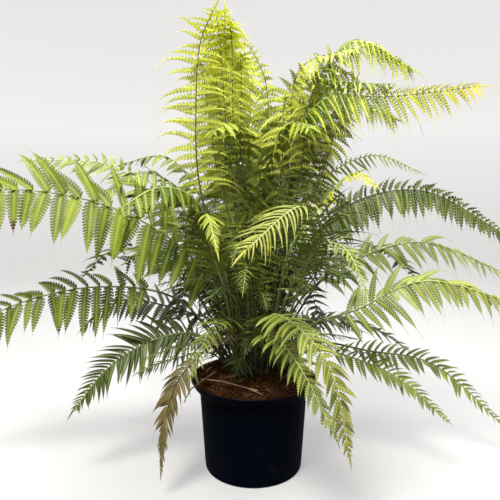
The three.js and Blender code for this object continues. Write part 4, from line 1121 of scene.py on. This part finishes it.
def crown(random):
    """The rootstock's dome with the stumps of old stalks on it."""
    edge, shoulder = CROWN_SHOULDER
    dome = [(r, shoulder + CROWN_RISE * (1 - (r / edge) ** 2)) for r in np.linspace(edge, 3, 16)]
    points, triangles = lathe([
        (0, ROOTSTOCK_BOTTOM), (ROOTSTOCK_RADIUS, ROOTSTOCK_BOTTOM), (ROOTSTOCK_RADIUS, SOIL_TOP), *dome,
        (0, shoulder + CROWN_RISE)], CROWN_SIDES)
    above = points[:, 2] > (SOIL_TOP + 0.5) * MM
    points[above, 2] += (waves(points[:, 0], points[:, 1], random) * CROWN_WAVE * MM)[above]
    skin = Skin("along")
    skin.add(points, triangles)
    for _ in range(STUMPS):
        far, turn = math.sqrt(random.uniform(0.03, 1)) * 44, random.uniform(0, 2 * math.pi)
        out = course(turn)
        lean = unit(out * far / 90 + UP + random.normal(0, 0.12, 3))
        tall = random.uniform(10, 26)
        path = [out * far + UP * shoulder + lean * tall * s for s in (0, 0.4, 0.8, 1)]
        radii = STUMP_RADII * random.uniform(0.6, 1.1) * MM
        tube(skin, np.array(path) * MM, radii, along=random.uniform(0, 0.5))
    made = skin.object("crown", stalk_material("rootstock", *ROOTSTOCK))
    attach(made, "root")
    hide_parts("rootstock")


# ---- the plant ----

materials = {"leaf_" + key: leaf_material("leaf_" + key, *row) for key, row in LEAVES.items()}
materials |= {"stalk_" + key: stalk_material("stalk_" + key, *row) for key, row in STALKS.items()}
for name, row in FRONDS.items():
    grow_frond(name, row, materials)
for name, row in (*young_fronds(), *filler_fronds()):
    grow_frond(name, row, materials, young=True)
for name, rule in BARE_STALKS.items():
    bare_stalks(name, rule, materials)

nursery_pot()
coir = coir_material()
soil_random = np.random.default_rng(5)
coir_bed(coir, soil_random)
coir_strands(coir, soil_random)
coir_crumbs(coir, soil_random)
dead_leaflets(materials, soil_random)
fallen_stalks()
crown(soil_random)

# ---- floor, light and camera, in metres ----

BOWL = [(0, 0), (2.2, 0), (2.6, 0.04), (3.0, 0.2), (3.3, 0.5), (3.5, 0.95), (3.6, 1.5), (3.65, 3.2),
        (3.66, 6.0)]
BOWL_ROUNDING = 0.3
BOWL_SIDES = 128
SKY_HEIGHTS = (-0.3, 0.9)
SKY_STRENGTHS = (0.08, 1.2)
SKY_COLOUR = (1.0, 0.985, 0.95, 1)

# Each light's place, target, size, watts, colour and spread in degrees.
LIGHTS = {
    "key": ((-0.5, -1.1, 2.1), (0, 0, 0.45), 0.7, 82, (1.0, 0.98, 0.94), 180),
    "fill": ((1.7, -1.0, 1.3), (0, 0, 0.4), 1.0, 9, (0.96, 0.98, 1.0), 180),
    "crest": ((-0.35, -1.2, 1.25), (-0.06, -0.05, 0.66), 0.3, 0.55, (1.0, 1.0, 0.94), 26),
    "top": ((0.3, 0.5, 2.2), (0, 0, 0.5), 1.0, 44, (1.0, 1.0, 1.0), 180),
}

CAMERA_PLACE = (-0.0057, -0.85, 0.472)
CAMERA_PITCH = 7.0
FOCAL_PIXELS = 523
IMAGE_PIXELS = 500
SENSOR_WIDTH = 36


def backdrop():
    """A floor that rises to a wall all round. It casts no light or shadow on the plant."""
    skin = Skin()
    profile = [*rounded(BOWL, BOWL_ROUNDING), (0, BOWL[-1][1])]
    skin.add(*lathe([(r / MM, z / MM) for r, z in profile], BOWL_SIDES))
    bowl = skin.object("backdrop", backdrop_material())
    bowl.visible_diffuse = bowl.visible_glossy = bowl.visible_transmission = bowl.visible_shadow = False


def sky():
    """Even light that grows from the floor to overhead."""
    world = bpy.data.worlds.new("studio")
    bpy.context.scene.world = world
    world.use_nodes = True
    nodes, links = world.node_tree.nodes, world.node_tree.links
    height = nodes.new("ShaderNodeSeparateXYZ")
    ramp = nodes.new("ShaderNodeMapRange")
    ramp.inputs["From Min"].default_value, ramp.inputs["From Max"].default_value = SKY_HEIGHTS
    ramp.inputs["To Min"].default_value, ramp.inputs["To Max"].default_value = SKY_STRENGTHS
    links.new(nodes.new("ShaderNodeTexCoord").outputs["Generated"], height.inputs[0])
    links.new(height.outputs["Z"], ramp.inputs["Value"])
    links.new(ramp.outputs[0], nodes["Background"].inputs["Strength"])
    nodes["Background"].inputs["Color"].default_value = SKY_COLOUR


def area_light(name, place, target, size, power, colour, spread):
    light = bpy.data.lights.new(name, "AREA")
    light.shape, light.size, light.energy, light.color = "DISK", size, power, colour
    light.spread = math.radians(spread)
    made = bpy.data.objects.new(name, light)
    made.location = place
    made.rotation_euler = (Vector(target) - Vector(place)).to_track_quat("-Z", "Y").to_euler()
    bpy.context.scene.collection.objects.link(made)


def photo_camera():
    """The photograph's view: its place, pitch and focal length."""
    data = bpy.data.cameras.new("camera")
    data.sensor_width = SENSOR_WIDTH
    data.lens = FOCAL_PIXELS / IMAGE_PIXELS * SENSOR_WIDTH
    data.clip_start = 0.05
    camera = bpy.data.objects.new("camera", data)
    camera.location = CAMERA_PLACE
    camera.rotation_euler = (math.radians(90 - CAMERA_PITCH), 0, 0)
    bpy.context.scene.collection.objects.link(camera)
    bpy.context.scene.camera = camera


backdrop()
sky()
for name, row in LIGHTS.items():
    area_light(name, *row)
photo_camera()
bpy.context.scene.view_settings.view_transform = "Standard"
